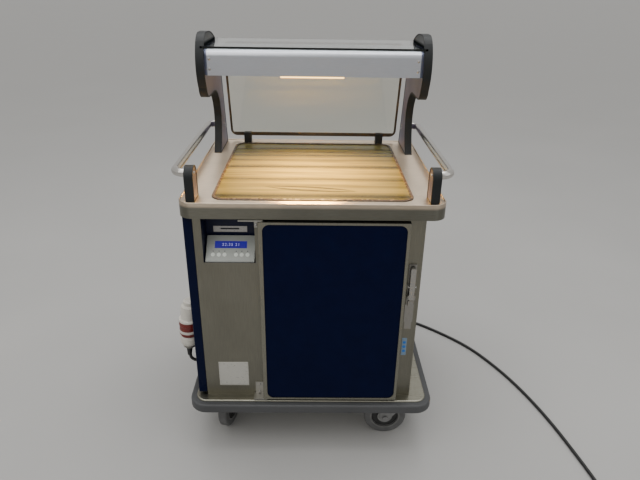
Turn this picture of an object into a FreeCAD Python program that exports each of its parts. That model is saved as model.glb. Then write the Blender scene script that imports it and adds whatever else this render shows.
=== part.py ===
"""Hostess trolley with a heated serving plate, a glass food guard and a heated cupboard.

Millimetres. +X is to the user's right, +Y runs to the back and +Z up, with the floor at
Z = 0. Depths are measured back from the front edge of the worktop with front(), and
every piece is shifted to the middle of the whole trolley when it is saved.
"""
import FreeCAD, Part
import math
import os
from FreeCAD import Vector

os.makedirs("parts", exist_ok=True)

# ---------------------------------------------------------------- worktop and plate
WORKTOP_W = 780.0
WORKTOP_D = 705.0
WORKTOP_TOP = 920.0
WORKTOP_CORNER_R = 42.0
APRON_H = 46.0
SHEET = 1.5
EDGE_W = 5.0
EDGE_H = 3.0
PLATE_W = 581.0
PLATE_D = 601.0
PLATE_T = 6.0
PLATE_CORNER_R = 30.0
PLATE_BACK_FROM_FRONT = 641.5
LEDGE_W = 10.0
BEAD_W = 9.0
BEAD_H = 4.0
PLATE_HEATER_T = 8.0
PLATE_HEATER_INSET = 6.0

# ---------------------------------------------------------------- posts and cheeks
POST_INNER_X = 338.0
TRIM_W = 26.0
TRIM_T = 4.0
TRIM_PROUD = 1.0
FRONT_POST_FRONT = 10.0
FRONT_POST_D = 60.0
FRONT_POST_H = 102.0
CHEEK_FOOT_FRONT = 512.0
CHEEK_FOOT_BACK = 690.0
CHEEK_WAIST = 563.0
CHEEK_WAIST_H = 125.0
CHEEK_NOTCH = 462.0
CHEEK_CHIN_H = 232.0
CHEEK_NOSE = 296.0
CHEEK_TOP_H = 430.0
CHEEK_TOP_FROM_FRONT = 405.0
CHEEK_LIP_D = 125.0
GLASS_T = 6.0
TOP_GLASS_H = 387.0
TOP_GLASS_FRONT = 312.0
TOP_GLASS_D = 280.0
TOP_GLASS_R = 10.0
SLOT_DEPTH = 12.0
SLOT_SIDE_GAP = 0.5
SLOT_HEADROOM = 0.4
REAR_GLASS_W = 644.0
REAR_GLASS_FOOT = 676.0
REAR_GLASS_FOOT_H = 25.0
REAR_GLASS_LEAN = 14.6
REAR_GLASS_R = 25.0
REAR_GLASS_TOP_GAP = 8.5
CLAMP_X = 257.0
CLAMP_W = 28.0
CLAMP_D = 30.0
CLAMP_H = 38.0

# ---------------------------------------------------------------- side handles
HANDLE_R = 12.5
HANDLE_WALL = 1.5
HANDLE_X = 397.0
HANDLE_H = 80.0
HANDLE_BEND_R = 29.0
HANDLE_FRONT = 39.0
HANDLE_BACK = 635.0

# ---------------------------------------------------------------- heat bridge
BRIDGE_END_X = 330.0
BRIDGE_FRONT = 305.0
BRIDGE_D = 150.0
BRIDGE_H = 77.0
BRIDGE_R = 19.0
BRIDGE_WALL = 3.0
BRIDGE_TOP_GAP = 2.0
BRIDGE_SCREW_X = 323.0
BRIDGE_SCREW_DROPS = (28.0, 58.0)
SCREW_HEAD_R = 4.5
SCREW_HEAD_H = 2.5
HOOD_X = -5.5
HOOD_HALF_W = 100.5
HOOD_D = 92.0
HOOD_H = 40.0
HOOD_WALL = 1.5
HOOD_DROP = 9.0
LAMP_R = 6.0
LAMP_PITCH = 36.0
LAMP_CAP_T = 10.0
LAMP_CAP_SIDE = 22.0
LAMP_FROM_HOOD_MOUTH = 15.0

# ---------------------------------------------------------------- cupboard
FRONT_FACE = 30.0
CUPBOARD_LEFT = -355.0
CUPBOARD_RIGHT = 337.0
CUPBOARD_BACK = 690.0
CUPBOARD_DROP = 48.0
FRONT_PANELS_RISE = 12.0
SIDE_PANEL_T = 29.0
SIDE_PANEL_R = 4.0
COLUMN_RIGHT = -158.0
BEARER_W = 36.0
BEARER_FRONT = 60.0
BEARER_BACK = 670.0
BEARER_SIDE_GAP = 8.0
GROOVE_X = 328.0
GROOVE_W = 2.5
CHAMBER_LEFT = -148.0
CHAMBER_RIGHT = 272.0
CHAMBER_RISE = 24.0
CHAMBER_DROP = 18.0
CHAMBER_BACK = 640.0
LINER_WALL = 1.5
RACK_T = 2.0
RACK_SETBACK = 26.0
RUNNER_W = 16.0
RUNNER_LEVELS = 6
RUNNER_FIRST = 70.0
RUNNER_HEADROOM = 50.5
LADDER_RISE = 20.0
SHELF_LEVELS = (0, 2, 4)
SHELF_RIM_H = 12.0
SHELF_SIDE_GAP = 1.0
HEATER_R = 4.0
HEATER_LEGS = 6
HEATER_LEG_PITCH = 60.0
HEATER_LEG_L = 420.0
VENT_COUNT = 8
VENT_W = 110.0
VENT_H = 6.0
VENT_PITCH = 16.0
VENT_FIRST_RISE = 112.0

# ---------------------------------------------------------------- control panel
CONTROL_X = -252.0
RECESS_W = 158.0
RECESS_H = 155.0
RECESS_BACK = 104.0
RECESS_WALL = 2.0
FASCIA_W = 149.0
FASCIA_L = 84.0
FASCIA_T = 3.0
FASCIA_TILT = 42.6
FASCIA_FRONT = 34.0
FASCIA_LIP_H = 5.0
DISPLAY_W = 99.0
DISPLAY_H = 24.0
DISPLAY_UP = 41.0
DISPLAY_SUNK = 0.5
DISPLAY_T = 6.0
BUTTON_R = 6.25
BUTTON_FIT = 0.05
BUTTON_FLANGE_R = 7.5
BUTTON_FLANGE_T = 1.5
BUTTON_FLANGE_GAP = 0.3
BUTTON_UP = 19.5
BUTTON_PROUD = 1.2
BUTTON_OFFSETS = (-53.0, -35.0, -17.5, 17.5, 35.0, 53.0)

# ---------------------------------------------------------------- door
DOOR_LEFT = -160.0
DOOR_RIGHT = 286.0
DOOR_RISE = 11.0
DOOR_DROP = 4.0
DOOR_FRONT = -8.0
DOOR_T = 36.0
DOOR_FACE_T = 8.0
DOOR_WALL = 2.0
DOOR_EDGE_R = 2.0
INSET_LEFT_MARGIN = 13.0
INSET_RIGHT_MARGIN = 9.0
INSET_END_MARGIN = 7.0
INSET_R = 22.0
INSET_DEPTH = 3.0
INSET_T = 2.0
GASKET_W = 10.0
GASKET_T = 1.7
GASKET_MARGIN = 10.0
HINGE_PIN_R = 4.0
HINGE_FIT = 0.05
HINGE_PIN_IN_DOOR = 12.0
HINGE_BORE = 14.0
HINGE_FROM_LEFT = 8.0
HINGE_FROM_FRONT = 12.0
HINGE_BOSS = 22.0
ARM_T = 4.0
ARM_GAP = 1.0
LOWER_ARM_REACH = 42.0
UPPER_ARM_REACH = 64.0
ARM_NOSE_R = 9.0
TAB_GAP = 2.0
LOWER_TAB_W = 27.0
LOWER_TAB_H = 50.0
UPPER_TAB_W = 11.0
UPPER_TAB_H = 36.0
TAB_SCREW_NEAR = 6.0
TAB_SCREW_FAR = 14.0
TAB_T = 4.0

# ---------------------------------------------------------------- latch
LATCH_X = 309.0
LATCH_W = 16.0
LATCH_PIVOT_DROP = 263.0
LATCH_PIVOT_FROM_FRONT = 14.0
LATCH_TOP_DROP = 161.0
LATCH_TAIL = 9.0
LATCH_T = 10.0
LATCH_PIN_R = 3.0
LATCH_FIT = 0.05
LATCH_EAR_T = 3.5
LATCH_EAR_GAP = 0.5
LATCH_BASE_T = 4.0
LATCH_BASE_TOP_DROP = 154.0
LATCH_BASE_BOTTOM_DROP = 298.0
LATCH_ROLLER_DROP = 227.0
LATCH_ROLLER_L = 26.0
COVER_PLATE_W = 28.0
COVER_PLATE_BOTTOM_DROP = 363.0
COVER_PLATE_T = 2.0
SMALL_PLATE_W = 22.0
SMALL_PLATE_BOTTOM_DROP = 390.0
KEEPER_T = 2.5
KEEPER_H = 34.0
KEEPER_D = 22.0

# ---------------------------------------------------------------- base
DECK_MARGIN = 3.0
DECK_D_MARGIN = 2.0
DECK_TOP = 208.0
DECK_SKIRT_H = 28.0
DECK_EDGE_R = 4.5
DECK_CORNER_R = 38.0
BUMPER_OUT = 20.0
BUMPER_DROP = 5.0
BUMPER_H = 34.0
BUMPER_ROUND = 7.0
CHASSIS_DROP = 26.0
CHASSIS_WALL = 3.0
CROSS_MEMBER_W = 90.0
SIDE_MEMBER_W = 60.0
CROSS_MEMBER_END = 370.0

# ---------------------------------------------------------------- casters
WHEEL_R = 75.0
WHEEL_W = 32.0
HUB_R = 54.0
HUB_SIDE_PLAY = 0.4
TYRE_ROUND = 7.0
AXLE_R = 6.0
RUNNING_FIT = 0.05
CASTER_X = 312.0
CASTER_FRONT = 85.0
CASTER_BACK = 632.0
CASTER_TRAIL = 45.0
TOP_PLATE_L = 105.0
TOP_PLATE_W = 85.0
TOP_PLATE_T = 4.0
RACE_R = 32.0
RACE_H = 6.0
CROWN_T = 13.0
CROWN_GAP = 0.5
KINGPIN_R = 7.0
KINGPIN_HEAD_R = 13.0
KINGPIN_HEAD_H = 4.0
FORK_GAP = 42.0
FORK_WALL = 5.0
FORK_EYE_R = 18.0
FORK_HEAD_BACK = 30.0
FORK_HEAD_FRONT = 66.0
FORK_NECK_DROP = 24.0
BOLT_HEAD_R = 10.0
BOLT_HEAD_T = 5.0
PEDAL_PIVOT_OUT = 58.0
PEDAL_PIVOT_Z = 161.0
PEDAL_PIN_R = 3.0
PEDAL_SIDE_PLAY = 0.4
PEDAL_L = 50.0
PEDAL_T = 9.0
PEDAL_FLARE_W = 60.0
# name, side, depth from the front, direction that the wheel trails in, has a brake
CASTERS = (
    ("front_left", -1, CASTER_FRONT, 76.0, False),
    ("front_right", 1, CASTER_FRONT, 180.0, False),
    ("rear_left", -1, CASTER_BACK, 270.0, True),
    ("rear_right", 1, CASTER_BACK, 270.0, True),
)

# ---------------------------------------------------------------- mains inlet and cord
INLET_X = -430.0
INLET_TILT = 4.5
INLET_FROM_FRONT = 200.0
INLET_TOP = 482.0
INLET_R = 31.0
INLET_FLANGE_R = 37.0
INLET_CAP_R = 22.0
INLET_CAP_H = 18.0
INLET_SHOULDER_H = 24.0
INLET_CYLINDER_H = 30.0
INLET_FLANGE_H = 30.0
INLET_COLLAR_H = 33.0
INLET_COLLAR_R = 35.0
BRACKET_W = 36.0
BRACKET_H = 36.0
CONNECTOR_NECK_R = 29.0
CONNECTOR_NECK_H = 10.0
CONNECTOR_BODY_R = 33.0
CONNECTOR_BODY_H = 41.0
GLAND_R = 22.0
GLAND_H = 11.0
CORD_R = 6.0
COIL_START_X = 955.0
COIL_FROM_FRONT = -292.0
COIL_TURNS = 4.0
COIL_INNER_R = 62.0
COIL_PITCH = 13.0
PLUG_R = 31.0
PLUG_GRIP_R = 26.0
PLUG_GRIP_L = 70.0
PLUG_COLLAR_R = 34.0
PLUG_COLLAR_L = 42.0
PLUG_SHROUD_WALL = 3.5
PLUG_SHROUD_DEPTH = 36.0
PLUG_PIN_R = 2.5
PLUG_PIN_RING_R = 18.0
PLUG_PIN_L = 24.0
PLUG_PINS = 5

# ---------------------------------------------------------------- derived places
SHEET_UNDER = WORKTOP_TOP - SHEET
APRON_BOTTOM = WORKTOP_TOP - APRON_H
CUPBOARD_TOP = WORKTOP_TOP - CUPBOARD_DROP
FRONT_PANELS_BOTTOM = DECK_TOP + FRONT_PANELS_RISE
BUMPER_TOP = DECK_TOP - BUMPER_DROP
CHASSIS_BOTTOM = DECK_TOP - CHASSIS_DROP
CHAMBER_BOTTOM = DECK_TOP + CHAMBER_RISE
CHAMBER_TOP = CUPBOARD_TOP - CHAMBER_DROP
CHAMBER_FLOOR = CHAMBER_BOTTOM + LINER_WALL
RUNNER_PITCH = ((CHAMBER_TOP - RUNNER_HEADROOM - CHAMBER_FLOOR - RUNNER_FIRST)
                / (RUNNER_LEVELS - 1))
VENT_FIRST_H = DECK_TOP + VENT_FIRST_RISE
RECESS_BOTTOM = CUPBOARD_TOP - RECESS_H
DOOR_BOTTOM = DECK_TOP + DOOR_RISE
DOOR_TOP = CUPBOARD_TOP - DOOR_DROP
LATCH_PIVOT_Z = CUPBOARD_TOP - LATCH_PIVOT_DROP
LATCH_TOP_Z = CUPBOARD_TOP - LATCH_TOP_DROP
LATCH_BASE_TOP_Z = CUPBOARD_TOP - LATCH_BASE_TOP_DROP
LATCH_BASE_BOTTOM_Z = CUPBOARD_TOP - LATCH_BASE_BOTTOM_DROP
LATCH_ROLLER_Z = CUPBOARD_TOP - LATCH_ROLLER_DROP
COVER_PLATE_BOTTOM_Z = CUPBOARD_TOP - COVER_PLATE_BOTTOM_DROP
SMALL_PLATE_BOTTOM_Z = CUPBOARD_TOP - SMALL_PLATE_BOTTOM_DROP
POST_OUTER_X = POST_INNER_X + TRIM_W
TOP_GLASS_Z = WORKTOP_TOP + TOP_GLASS_H
BRIDGE_TOP = TOP_GLASS_Z - BRIDGE_TOP_GAP
BRIDGE_BOTTOM = BRIDGE_TOP - BRIDGE_H
DOOR_BACK = DOOR_FRONT + DOOR_T
HINGE_X = DOOR_LEFT + HINGE_FROM_LEFT
HINGE_FRONT = DOOR_FRONT + HINGE_FROM_FRONT
# door edge, way its arm lies, reach of the arm, width and height of the tab
HINGES = (
    (DOOR_BOTTOM, -1, LOWER_ARM_REACH, LOWER_TAB_W, LOWER_TAB_H),
    (DOOR_TOP, 1, UPPER_ARM_REACH, UPPER_TAB_W, UPPER_TAB_H),
)
DECK_HALF_W = WORKTOP_W / 2 + DECK_MARGIN
BUMPER_HALF_W = DECK_HALF_W + BUMPER_OUT
INLET_BOTTOM = (INLET_TOP - INLET_CAP_H - INLET_SHOULDER_H - INLET_CYLINDER_H
                - INLET_FLANGE_H - INLET_COLLAR_H)
CORD_EXIT_Z = INLET_BOTTOM - CONNECTOR_NECK_H - CONNECTOR_BODY_H - GLAND_H
COIL_OUTER_R = COIL_INNER_R + COIL_PITCH * COIL_TURNS / 2
COIL_X = COIL_START_X - COIL_OUTER_R
INLET_LEAN = math.radians(INLET_TILT)
INLET_REACH = (-INLET_X + (INLET_TOP - INLET_BOTTOM) * math.sin(INLET_LEAN)
               + INLET_COLLAR_R * math.cos(INLET_LEAN))
SHIFT_X = (INLET_REACH - BUMPER_HALF_W) / 2
HUB_W = FORK_GAP - 2 * HUB_SIDE_PLAY
PEDAL_W = FORK_GAP - 2 * PEDAL_SIDE_PLAY
PLUG_HEADING = Vector(-1, 0, 0)


# ---------------------------------------------------------------- helpers
def front(depth):
    """Y of a point that lies this far behind the front edge of the worktop."""
    return depth - WORKTOP_D / 2


def block(x0, x1, d0, d1, z0, z1):
    """Box between two X, two depths from the front edge and two heights."""
    return Part.makeBox(x1 - x0, d1 - d0, z1 - z0, Vector(x0, front(d0), z0))


def edges_along(shape, axis):
    """Straight edges that run along an axis, given as 0, 1 or 2 for X, Y or Z."""
    found = []
    for edge in shape.Edges:
        if edge.Curve.TypeId != "Part::GeomLine":
            continue
        step = edge.Vertexes[-1].Point - edge.Vertexes[0].Point
        if abs(step[axis]) > 0.999 * step.Length:
            found.append(edge)
    return found


def rounded_block(x0, x1, d0, d1, z0, z1, radius, axis=2):
    """Box whose edges along one axis are rounded."""
    box = block(x0, x1, d0, d1, z0, z1)
    return box.makeFillet(radius, edges_along(box, axis))


def cylinder(x, depth, z, radius, length, direction):
    return Part.makeCylinder(radius, length, Vector(x, front(depth), z), direction)


UP = Vector(0, 0, 1)
DOWN = Vector(0, 0, -1)
RIGHT = Vector(1, 0, 0)
BACK = Vector(0, 1, 0)


def fuse(shapes):
    """One solid from pieces that overlap or share faces."""
    return shapes[0].multiFuse(shapes[1:]).removeSplitter()


def mirrored(shape):
    return shape.mirror(Vector(0, 0, 0), RIGHT)


def pair(shape):
    """A piece on the right side and its mirror image on the left."""
    return [shape, mirrored(shape)]


def arc(start, middle, end):
    return Part.Arc(start, middle, end).toShape()


def side_face(points):
    """Face in the YZ plane from ("line", d, z) and ("arc", d, z, d, z) steps."""
    def at(depth, z):
        return Vector(0, front(depth), z)

    here = at(*points[0])
    edges = []
    for step in points[1:]:
        there = at(step[-2], step[-1])
        if step[0] == "arc":
            edges.append(arc(here, at(step[1], step[2]), there))
        else:
            edges.append(Part.LineSegment(here, there).toShape())
        here = there
    return Part.Face(Part.Wire(edges))


def across(face, x0, x1):
    """Solid that a face in the YZ plane sweeps from one X to another."""
    return face.translated(Vector(x0, 0, 0)).extrude(Vector(x1 - x0, 0, 0))


def revolved(profile, x, depth, z, axis):
    """Solid of revolution from (radius, height) points about an axis through a place."""
    points = [Vector(radius, 0, height) for radius, height in profile]
    points = [Vector(0, 0, profile[0][1])] + points + [Vector(0, 0, profile[-1][1])]
    face = Part.Face(Part.makePolygon(points + [points[0]]))
    solid = face.revolve(Vector(0, 0, 0), UP, 360)
    solid.Placement = FreeCAD.Placement(Vector(x, front(depth), z), FreeCAD.Rotation(UP, axis))
    return solid


def bent_path(points, radius=None):
    """Straight runs joined by tangent arcs. With no radius each arc takes what it can."""
    runs = [points[i + 1] - points[i] for i in range(len(points) - 1)]
    edges = []
    radii = []
    here = points[0]
    for before, after, corner in zip(runs, runs[1:], points[1:]):
        turn = before.getAngle(after)
        shorter = min(before.Length, after.Length)
        bend = radius or 0.45 * shorter / math.tan(turn / 2)
        cut = bend * math.tan(turn / 2)
        into = Vector(before).normalize()
        out = Vector(after).normalize()
        start = corner - into * cut
        end = corner + out * cut
        inward = (out - into).normalize()
        middle = corner + inward * (bend / math.cos(turn / 2) - bend)
        edges.append(Part.LineSegment(here, start).toShape())
        edges.append(arc(start, middle, end))
        radii.append(bend)
        here = end
    edges.append(Part.LineSegment(here, points[-1]).toShape())
    return Part.Wire(edges), radii


def tube(path, radius):
    """Round bar along a path, with its volume set against section times length."""
    first = path.Edges[0]
    start = first.valueAt(first.FirstParameter)
    heading = first.tangentAt(first.FirstParameter)
    ring = Part.Wire(Part.makeCircle(radius, start, heading))
    bar = path.makePipeShell([ring], True, False)
    wanted = math.pi * radius ** 2 * path.Length
    print("  bar volume against section x length: %.4f" % (bar.Volume / wanted))
    return bar


def biarc(start, along_start, end, along_end):
    """Two arcs that leave a point and reach another in the given directions."""
    span = end - start
    both = along_start + along_end
    spread = 2 * (1 - along_start.dot(along_end))
    lean = span.dot(both)
    reach = (math.sqrt(lean ** 2 + spread * span.dot(span)) - lean) / spread
    corner_a = start + along_start * reach
    corner_b = end - along_end * reach
    joint = (corner_a + corner_b) * 0.5
    arcs = []
    for one, corner, other in ((start, corner_a, joint), (joint, corner_b, end)):
        chord_middle = (one + other) * 0.5
        rise = corner - chord_middle
        half = math.atan2(rise.Length, (one - chord_middle).Length)
        sagitta = (one - chord_middle).Length * math.tan(half / 2)
        arcs.append(arc(one, chord_middle + rise.normalize() * sagitta, other))
    return arcs


NODES = {}


def save(name, *solids):
    """Write one node, moved from the worktop's middle to the trolley's middle."""
    shape = solids[0] if len(solids) == 1 else Part.makeCompound(list(solids))
    shape = shape.translated(Vector(SHIFT_X, 0, 0))
    NODES[name] = shape
    shape.exportStep("parts/%s.step" % name)


# ---------------------------------------------------------------- worktop pieces
def plate_block(margin, z0, z1):
    """Rounded block round the serving plate, wider than it by a margin on each side."""
    half = PLATE_W / 2 + margin
    back = PLATE_BACK_FROM_FRONT + margin
    radius = PLATE_CORNER_R + margin
    return rounded_block(-half, half, back - PLATE_D - 2 * margin, back, z0, z1, radius)


def make_worktop():
    def layer(inset, z0, z1):
        half = WORKTOP_W / 2 - inset
        radius = WORKTOP_CORNER_R - inset
        return rounded_block(-half, half, inset, WORKTOP_D - inset, z0, z1, radius)

    top = WORKTOP_TOP + EDGE_H
    body = layer(0, APRON_BOTTOM, top).cut(layer(EDGE_W, WORKTOP_TOP, top))
    rim = [edge for edge in body.Edges if edge.BoundBox.ZMin > top - 0.01]
    body = body.makeFillet(EDGE_W / 2 - 0.3, rim)
    body = body.cut(layer(SHEET, APRON_BOTTOM, SHEET_UNDER))
    ledge_top = WORKTOP_TOP - PLATE_T
    well = plate_block(SHEET, ledge_top - SHEET, WORKTOP_TOP)
    body = body.fuse(well)
    body = body.cut(plate_block(0, ledge_top, WORKTOP_TOP))
    body = body.cut(plate_block(-LEDGE_W, ledge_top - SHEET, ledge_top))
    save("worktop", body.removeSplitter())


def make_plate():
    ledge_top = WORKTOP_TOP - PLATE_T
    save("serving_plate", plate_block(0, ledge_top, WORKTOP_TOP))
    outer = plate_block(BEAD_W, WORKTOP_TOP, WORKTOP_TOP + BEAD_H)
    crest = [edge for edge in outer.Edges if edge.BoundBox.ZMin > WORKTOP_TOP + BEAD_H - 0.01]
    outer = outer.makeFillet(BEAD_W / 3, crest)
    bead = outer.cut(plate_block(0, WORKTOP_TOP, WORKTOP_TOP + BEAD_H))
    save("plate_bead", bead)
    inset = -LEDGE_W - PLATE_HEATER_INSET
    save("plate_heater", plate_block(inset, ledge_top - PLATE_HEATER_T, ledge_top))


# ---------------------------------------------------------------- posts and cheeks
def cheek_face():
    """Side view of a cheek: foot, waist, chin, nose and the lobe over the glass."""
    base = WORKTOP_TOP
    chin = base + CHEEK_CHIN_H
    crown = base + CHEEK_TOP_H
    waist = base + CHEEK_WAIST_H
    lip = CHEEK_TOP_FROM_FRONT + CHEEK_LIP_D
    glass_back = TOP_GLASS_FRONT + TOP_GLASS_D
    lean = math.tan(math.radians(REAR_GLASS_LEAN))
    top_back = CHEEK_FOOT_BACK - lean * TOP_GLASS_H
    top_back = min(top_back, glass_back)
    return side_face((
        (CHEEK_FOOT_FRONT, base),
        ("arc", CHEEK_WAIST - 14, base + CHEEK_WAIST_H / 2, CHEEK_WAIST, waist),
        ("arc", CHEEK_WAIST - 24, waist + 66, CHEEK_NOTCH, chin),
        ("line", CHEEK_NOSE + 70, chin),
        ("arc", CHEEK_NOSE + 38, chin + 8, CHEEK_NOSE + 20, chin + 36),
        ("arc", CHEEK_NOSE, chin + 112, CHEEK_NOSE + 26, crown - 22),
        ("arc", CHEEK_NOSE + 50, crown - 5, CHEEK_NOSE + 80, crown),
        ("line", CHEEK_TOP_FROM_FRONT, crown),
        ("arc", CHEEK_TOP_FROM_FRONT + 66, crown - 9, lip, TOP_GLASS_Z + GLASS_T + 6),
        ("line", lip, TOP_GLASS_Z),
        ("line", top_back, TOP_GLASS_Z),
        ("line", CHEEK_FOOT_BACK, base),
        ("line", CHEEK_FOOT_FRONT, base),
    ))


def front_post_face():
    back = FRONT_POST_FRONT + FRONT_POST_D
    middle = FRONT_POST_FRONT + FRONT_POST_D / 2
    top = WORKTOP_TOP + FRONT_POST_H
    shoulder = top - FRONT_POST_D / 2
    return side_face((
        (FRONT_POST_FRONT, WORKTOP_TOP),
        ("line", FRONT_POST_FRONT, shoulder),
        ("arc", middle, top, back, shoulder),
        ("line", back, WORKTOP_TOP),
        ("line", FRONT_POST_FRONT, WORKTOP_TOP),
    ))


def panel_and_trim(face):
    """Flat panel and the rubber edge that runs all round it."""
    inner = face.makeOffset2D(-TRIM_T)
    panel = across(inner, POST_INNER_X + TRIM_PROUD, POST_OUTER_X - TRIM_PROUD)
    rim = face.cut(inner)
    return panel, across(rim, POST_INNER_X, POST_OUTER_X)


def make_cheeks():
    slot = block(POST_INNER_X, POST_INNER_X + SLOT_DEPTH, CHEEK_NOSE,
                 TOP_GLASS_FRONT + TOP_GLASS_D + TRIM_T,
                 TOP_GLASS_Z, TOP_GLASS_Z + GLASS_T + SLOT_HEADROOM)
    panel, trim = panel_and_trim(cheek_face())
    panel = panel.cut(slot)
    trim = trim.cut(slot)
    post, post_trim = panel_and_trim(front_post_face())
    save("right_cheek", panel)
    save("left_cheek", mirrored(panel))
    save("front_posts", *pair(post))
    save("edge_trims", *(pair(trim) + pair(post_trim)))


def make_handles():
    height = WORKTOP_TOP + HANDLE_H
    root_x = POST_OUTER_X - TRIM_PROUD
    points = [Vector(root_x, front(HANDLE_FRONT), height),
              Vector(HANDLE_X, front(HANDLE_FRONT), height),
              Vector(HANDLE_X, front(HANDLE_BACK), height),
              Vector(root_x, front(HANDLE_BACK), height)]
    path, _ = bent_path(points, HANDLE_BEND_R)
    handle = tube(path, HANDLE_R).cut(tube(path, HANDLE_R - HANDLE_WALL))
    save("side_handles", *pair(handle))


# ---------------------------------------------------------------- glass
def rear_glass():
    """Leaning pane, built upright on its foot and tipped forward about it."""
    lean = math.radians(REAR_GLASS_LEAN)
    foot = WORKTOP_TOP + REAR_GLASS_FOOT_H
    rise = TOP_GLASS_Z - REAR_GLASS_TOP_GAP - foot - GLASS_T * math.sin(lean)
    length = rise / math.cos(lean)
    half = REAR_GLASS_W / 2
    pane = rounded_block(-half, half, REAR_GLASS_FOOT, REAR_GLASS_FOOT + GLASS_T,
                         foot, foot + length, REAR_GLASS_R, axis=1)
    hinge = Vector(0, front(REAR_GLASS_FOOT), foot)
    return pane.rotate(hinge, RIGHT, REAR_GLASS_LEAN)


def make_glass():
    half = POST_INNER_X + SLOT_DEPTH - SLOT_SIDE_GAP
    save("top_glass", rounded_block(-half, half, TOP_GLASS_FRONT, TOP_GLASS_FRONT + TOP_GLASS_D,
                                    TOP_GLASS_Z, TOP_GLASS_Z + GLASS_T, TOP_GLASS_R))
    pane = rear_glass()
    save("rear_glass", pane)
    start = REAR_GLASS_FOOT - CLAMP_D / 2 + 2
    clamp = rounded_block(CLAMP_X - CLAMP_W / 2, CLAMP_X + CLAMP_W / 2, start, start + CLAMP_D,
                          WORKTOP_TOP, WORKTOP_TOP + CLAMP_H, 3)
    save("glass_clamps", *pair(clamp.cut(pane)))


# ---------------------------------------------------------------- heat bridge
def bridge_section(inset):
    """Solid of the bridge's outer shape, drawn in by a wall."""
    back = BRIDGE_FRONT + BRIDGE_D
    body = block(-BRIDGE_END_X, BRIDGE_END_X, BRIDGE_FRONT + inset, back - inset,
                 BRIDGE_BOTTOM, BRIDGE_TOP - inset)
    top = [edge for edge in edges_along(body, 0) if edge.BoundBox.ZMin > BRIDGE_BOTTOM + 1]
    return body.makeFillet(BRIDGE_R - inset, top)


def make_bridge():
    outer = bridge_section(0)
    save("bridge_profile", outer.cut(bridge_section(BRIDGE_WALL)))
    slab = block(BRIDGE_END_X, POST_INNER_X + TRIM_PROUD, BRIDGE_FRONT + 4,
                 BRIDGE_FRONT + BRIDGE_D, BRIDGE_BOTTOM, BRIDGE_TOP)
    rims = [edge for edge in edges_along(slab, 0) if edge.BoundBox.ZMin > BRIDGE_BOTTOM + 1]
    save("bridge_brackets", *pair(slab.makeFillet(BRIDGE_R - 4, rims)))


def make_lamps():
    middle = BRIDGE_FRONT + BRIDGE_D / 2
    mouth = BRIDGE_BOTTOM - HOOD_DROP
    roof = mouth + HOOD_H
    d0, d1 = middle - HOOD_D / 2, middle + HOOD_D / 2
    hood = block(-HOOD_HALF_W, HOOD_HALF_W, d0, d1, mouth, roof)
    inside = block(-HOOD_HALF_W + HOOD_WALL, HOOD_HALF_W - HOOD_WALL, d0 + HOOD_WALL,
                   d1 - HOOD_WALL, mouth, roof - HOOD_WALL)
    hood = hood.cut(inside)
    for side in (-1, 1):
        x = side * HOOD_HALF_W / 2
        hood = hood.fuse(block(x - 8, x + 8, middle - 8, middle + 8, roof - HOOD_WALL,
                               BRIDGE_TOP - BRIDGE_WALL))
    save("lamp_reflector", hood.removeSplitter().translated(Vector(HOOD_X, 0, 0)))
    cap_out = HOOD_HALF_W - HOOD_WALL
    cap_in = cap_out - LAMP_CAP_T
    z = mouth + LAMP_FROM_HOOD_MOUTH
    pieces = []
    for row in (-0.5, 0.5):
        depth = middle + row * LAMP_PITCH
        pieces.append(cylinder(-cap_in, depth, z, LAMP_R, 2 * cap_in, RIGHT))
        cap = block(cap_in, cap_out, depth - LAMP_CAP_SIDE / 2, depth + LAMP_CAP_SIDE / 2,
                    z - LAMP_CAP_SIDE / 2, z + LAMP_CAP_SIDE / 2)
        pieces += pair(cap)
    save("heat_lamps", *[piece.translated(Vector(HOOD_X, 0, 0)) for piece in pieces])


def make_screws():
    """Visible screw heads: bridge ends, handle ends, rear posts and hinge tabs."""
    def head(x, depth, z, direction):
        head_profile = ((SCREW_HEAD_R, 0), (SCREW_HEAD_R * 0.9, SCREW_HEAD_H * 0.6),
                        (SCREW_HEAD_R * 0.5, SCREW_HEAD_H))
        return revolved(head_profile, x, depth, z, direction)

    heads = []
    for drop in BRIDGE_SCREW_DROPS:
        heads += pair(head(BRIDGE_SCREW_X, BRIDGE_FRONT, BRIDGE_TOP - drop, Vector(0, -1, 0)))
    face = POST_INNER_X + TRIM_PROUD
    handle_z = WORKTOP_TOP + HANDLE_H
    rear_z = WORKTOP_TOP + 0.8 * HANDLE_H
    for depth, z in ((HANDLE_FRONT, handle_z), (HANDLE_BACK, handle_z),
                     (CHEEK_FOOT_BACK - 35, rear_z)):
        heads += pair(head(face, depth, z, Vector(-1, 0, 0)))
    for edge, way, _, width, height in HINGES:
        for step in (TAB_SCREW_NEAR, height - TAB_SCREW_FAR):
            heads.append(head(DOOR_LEFT - TAB_GAP - width / 2, FRONT_FACE - TAB_T,
                              edge - way * step, Vector(0, -1, 0)))
    save("screws", *heads)


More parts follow.
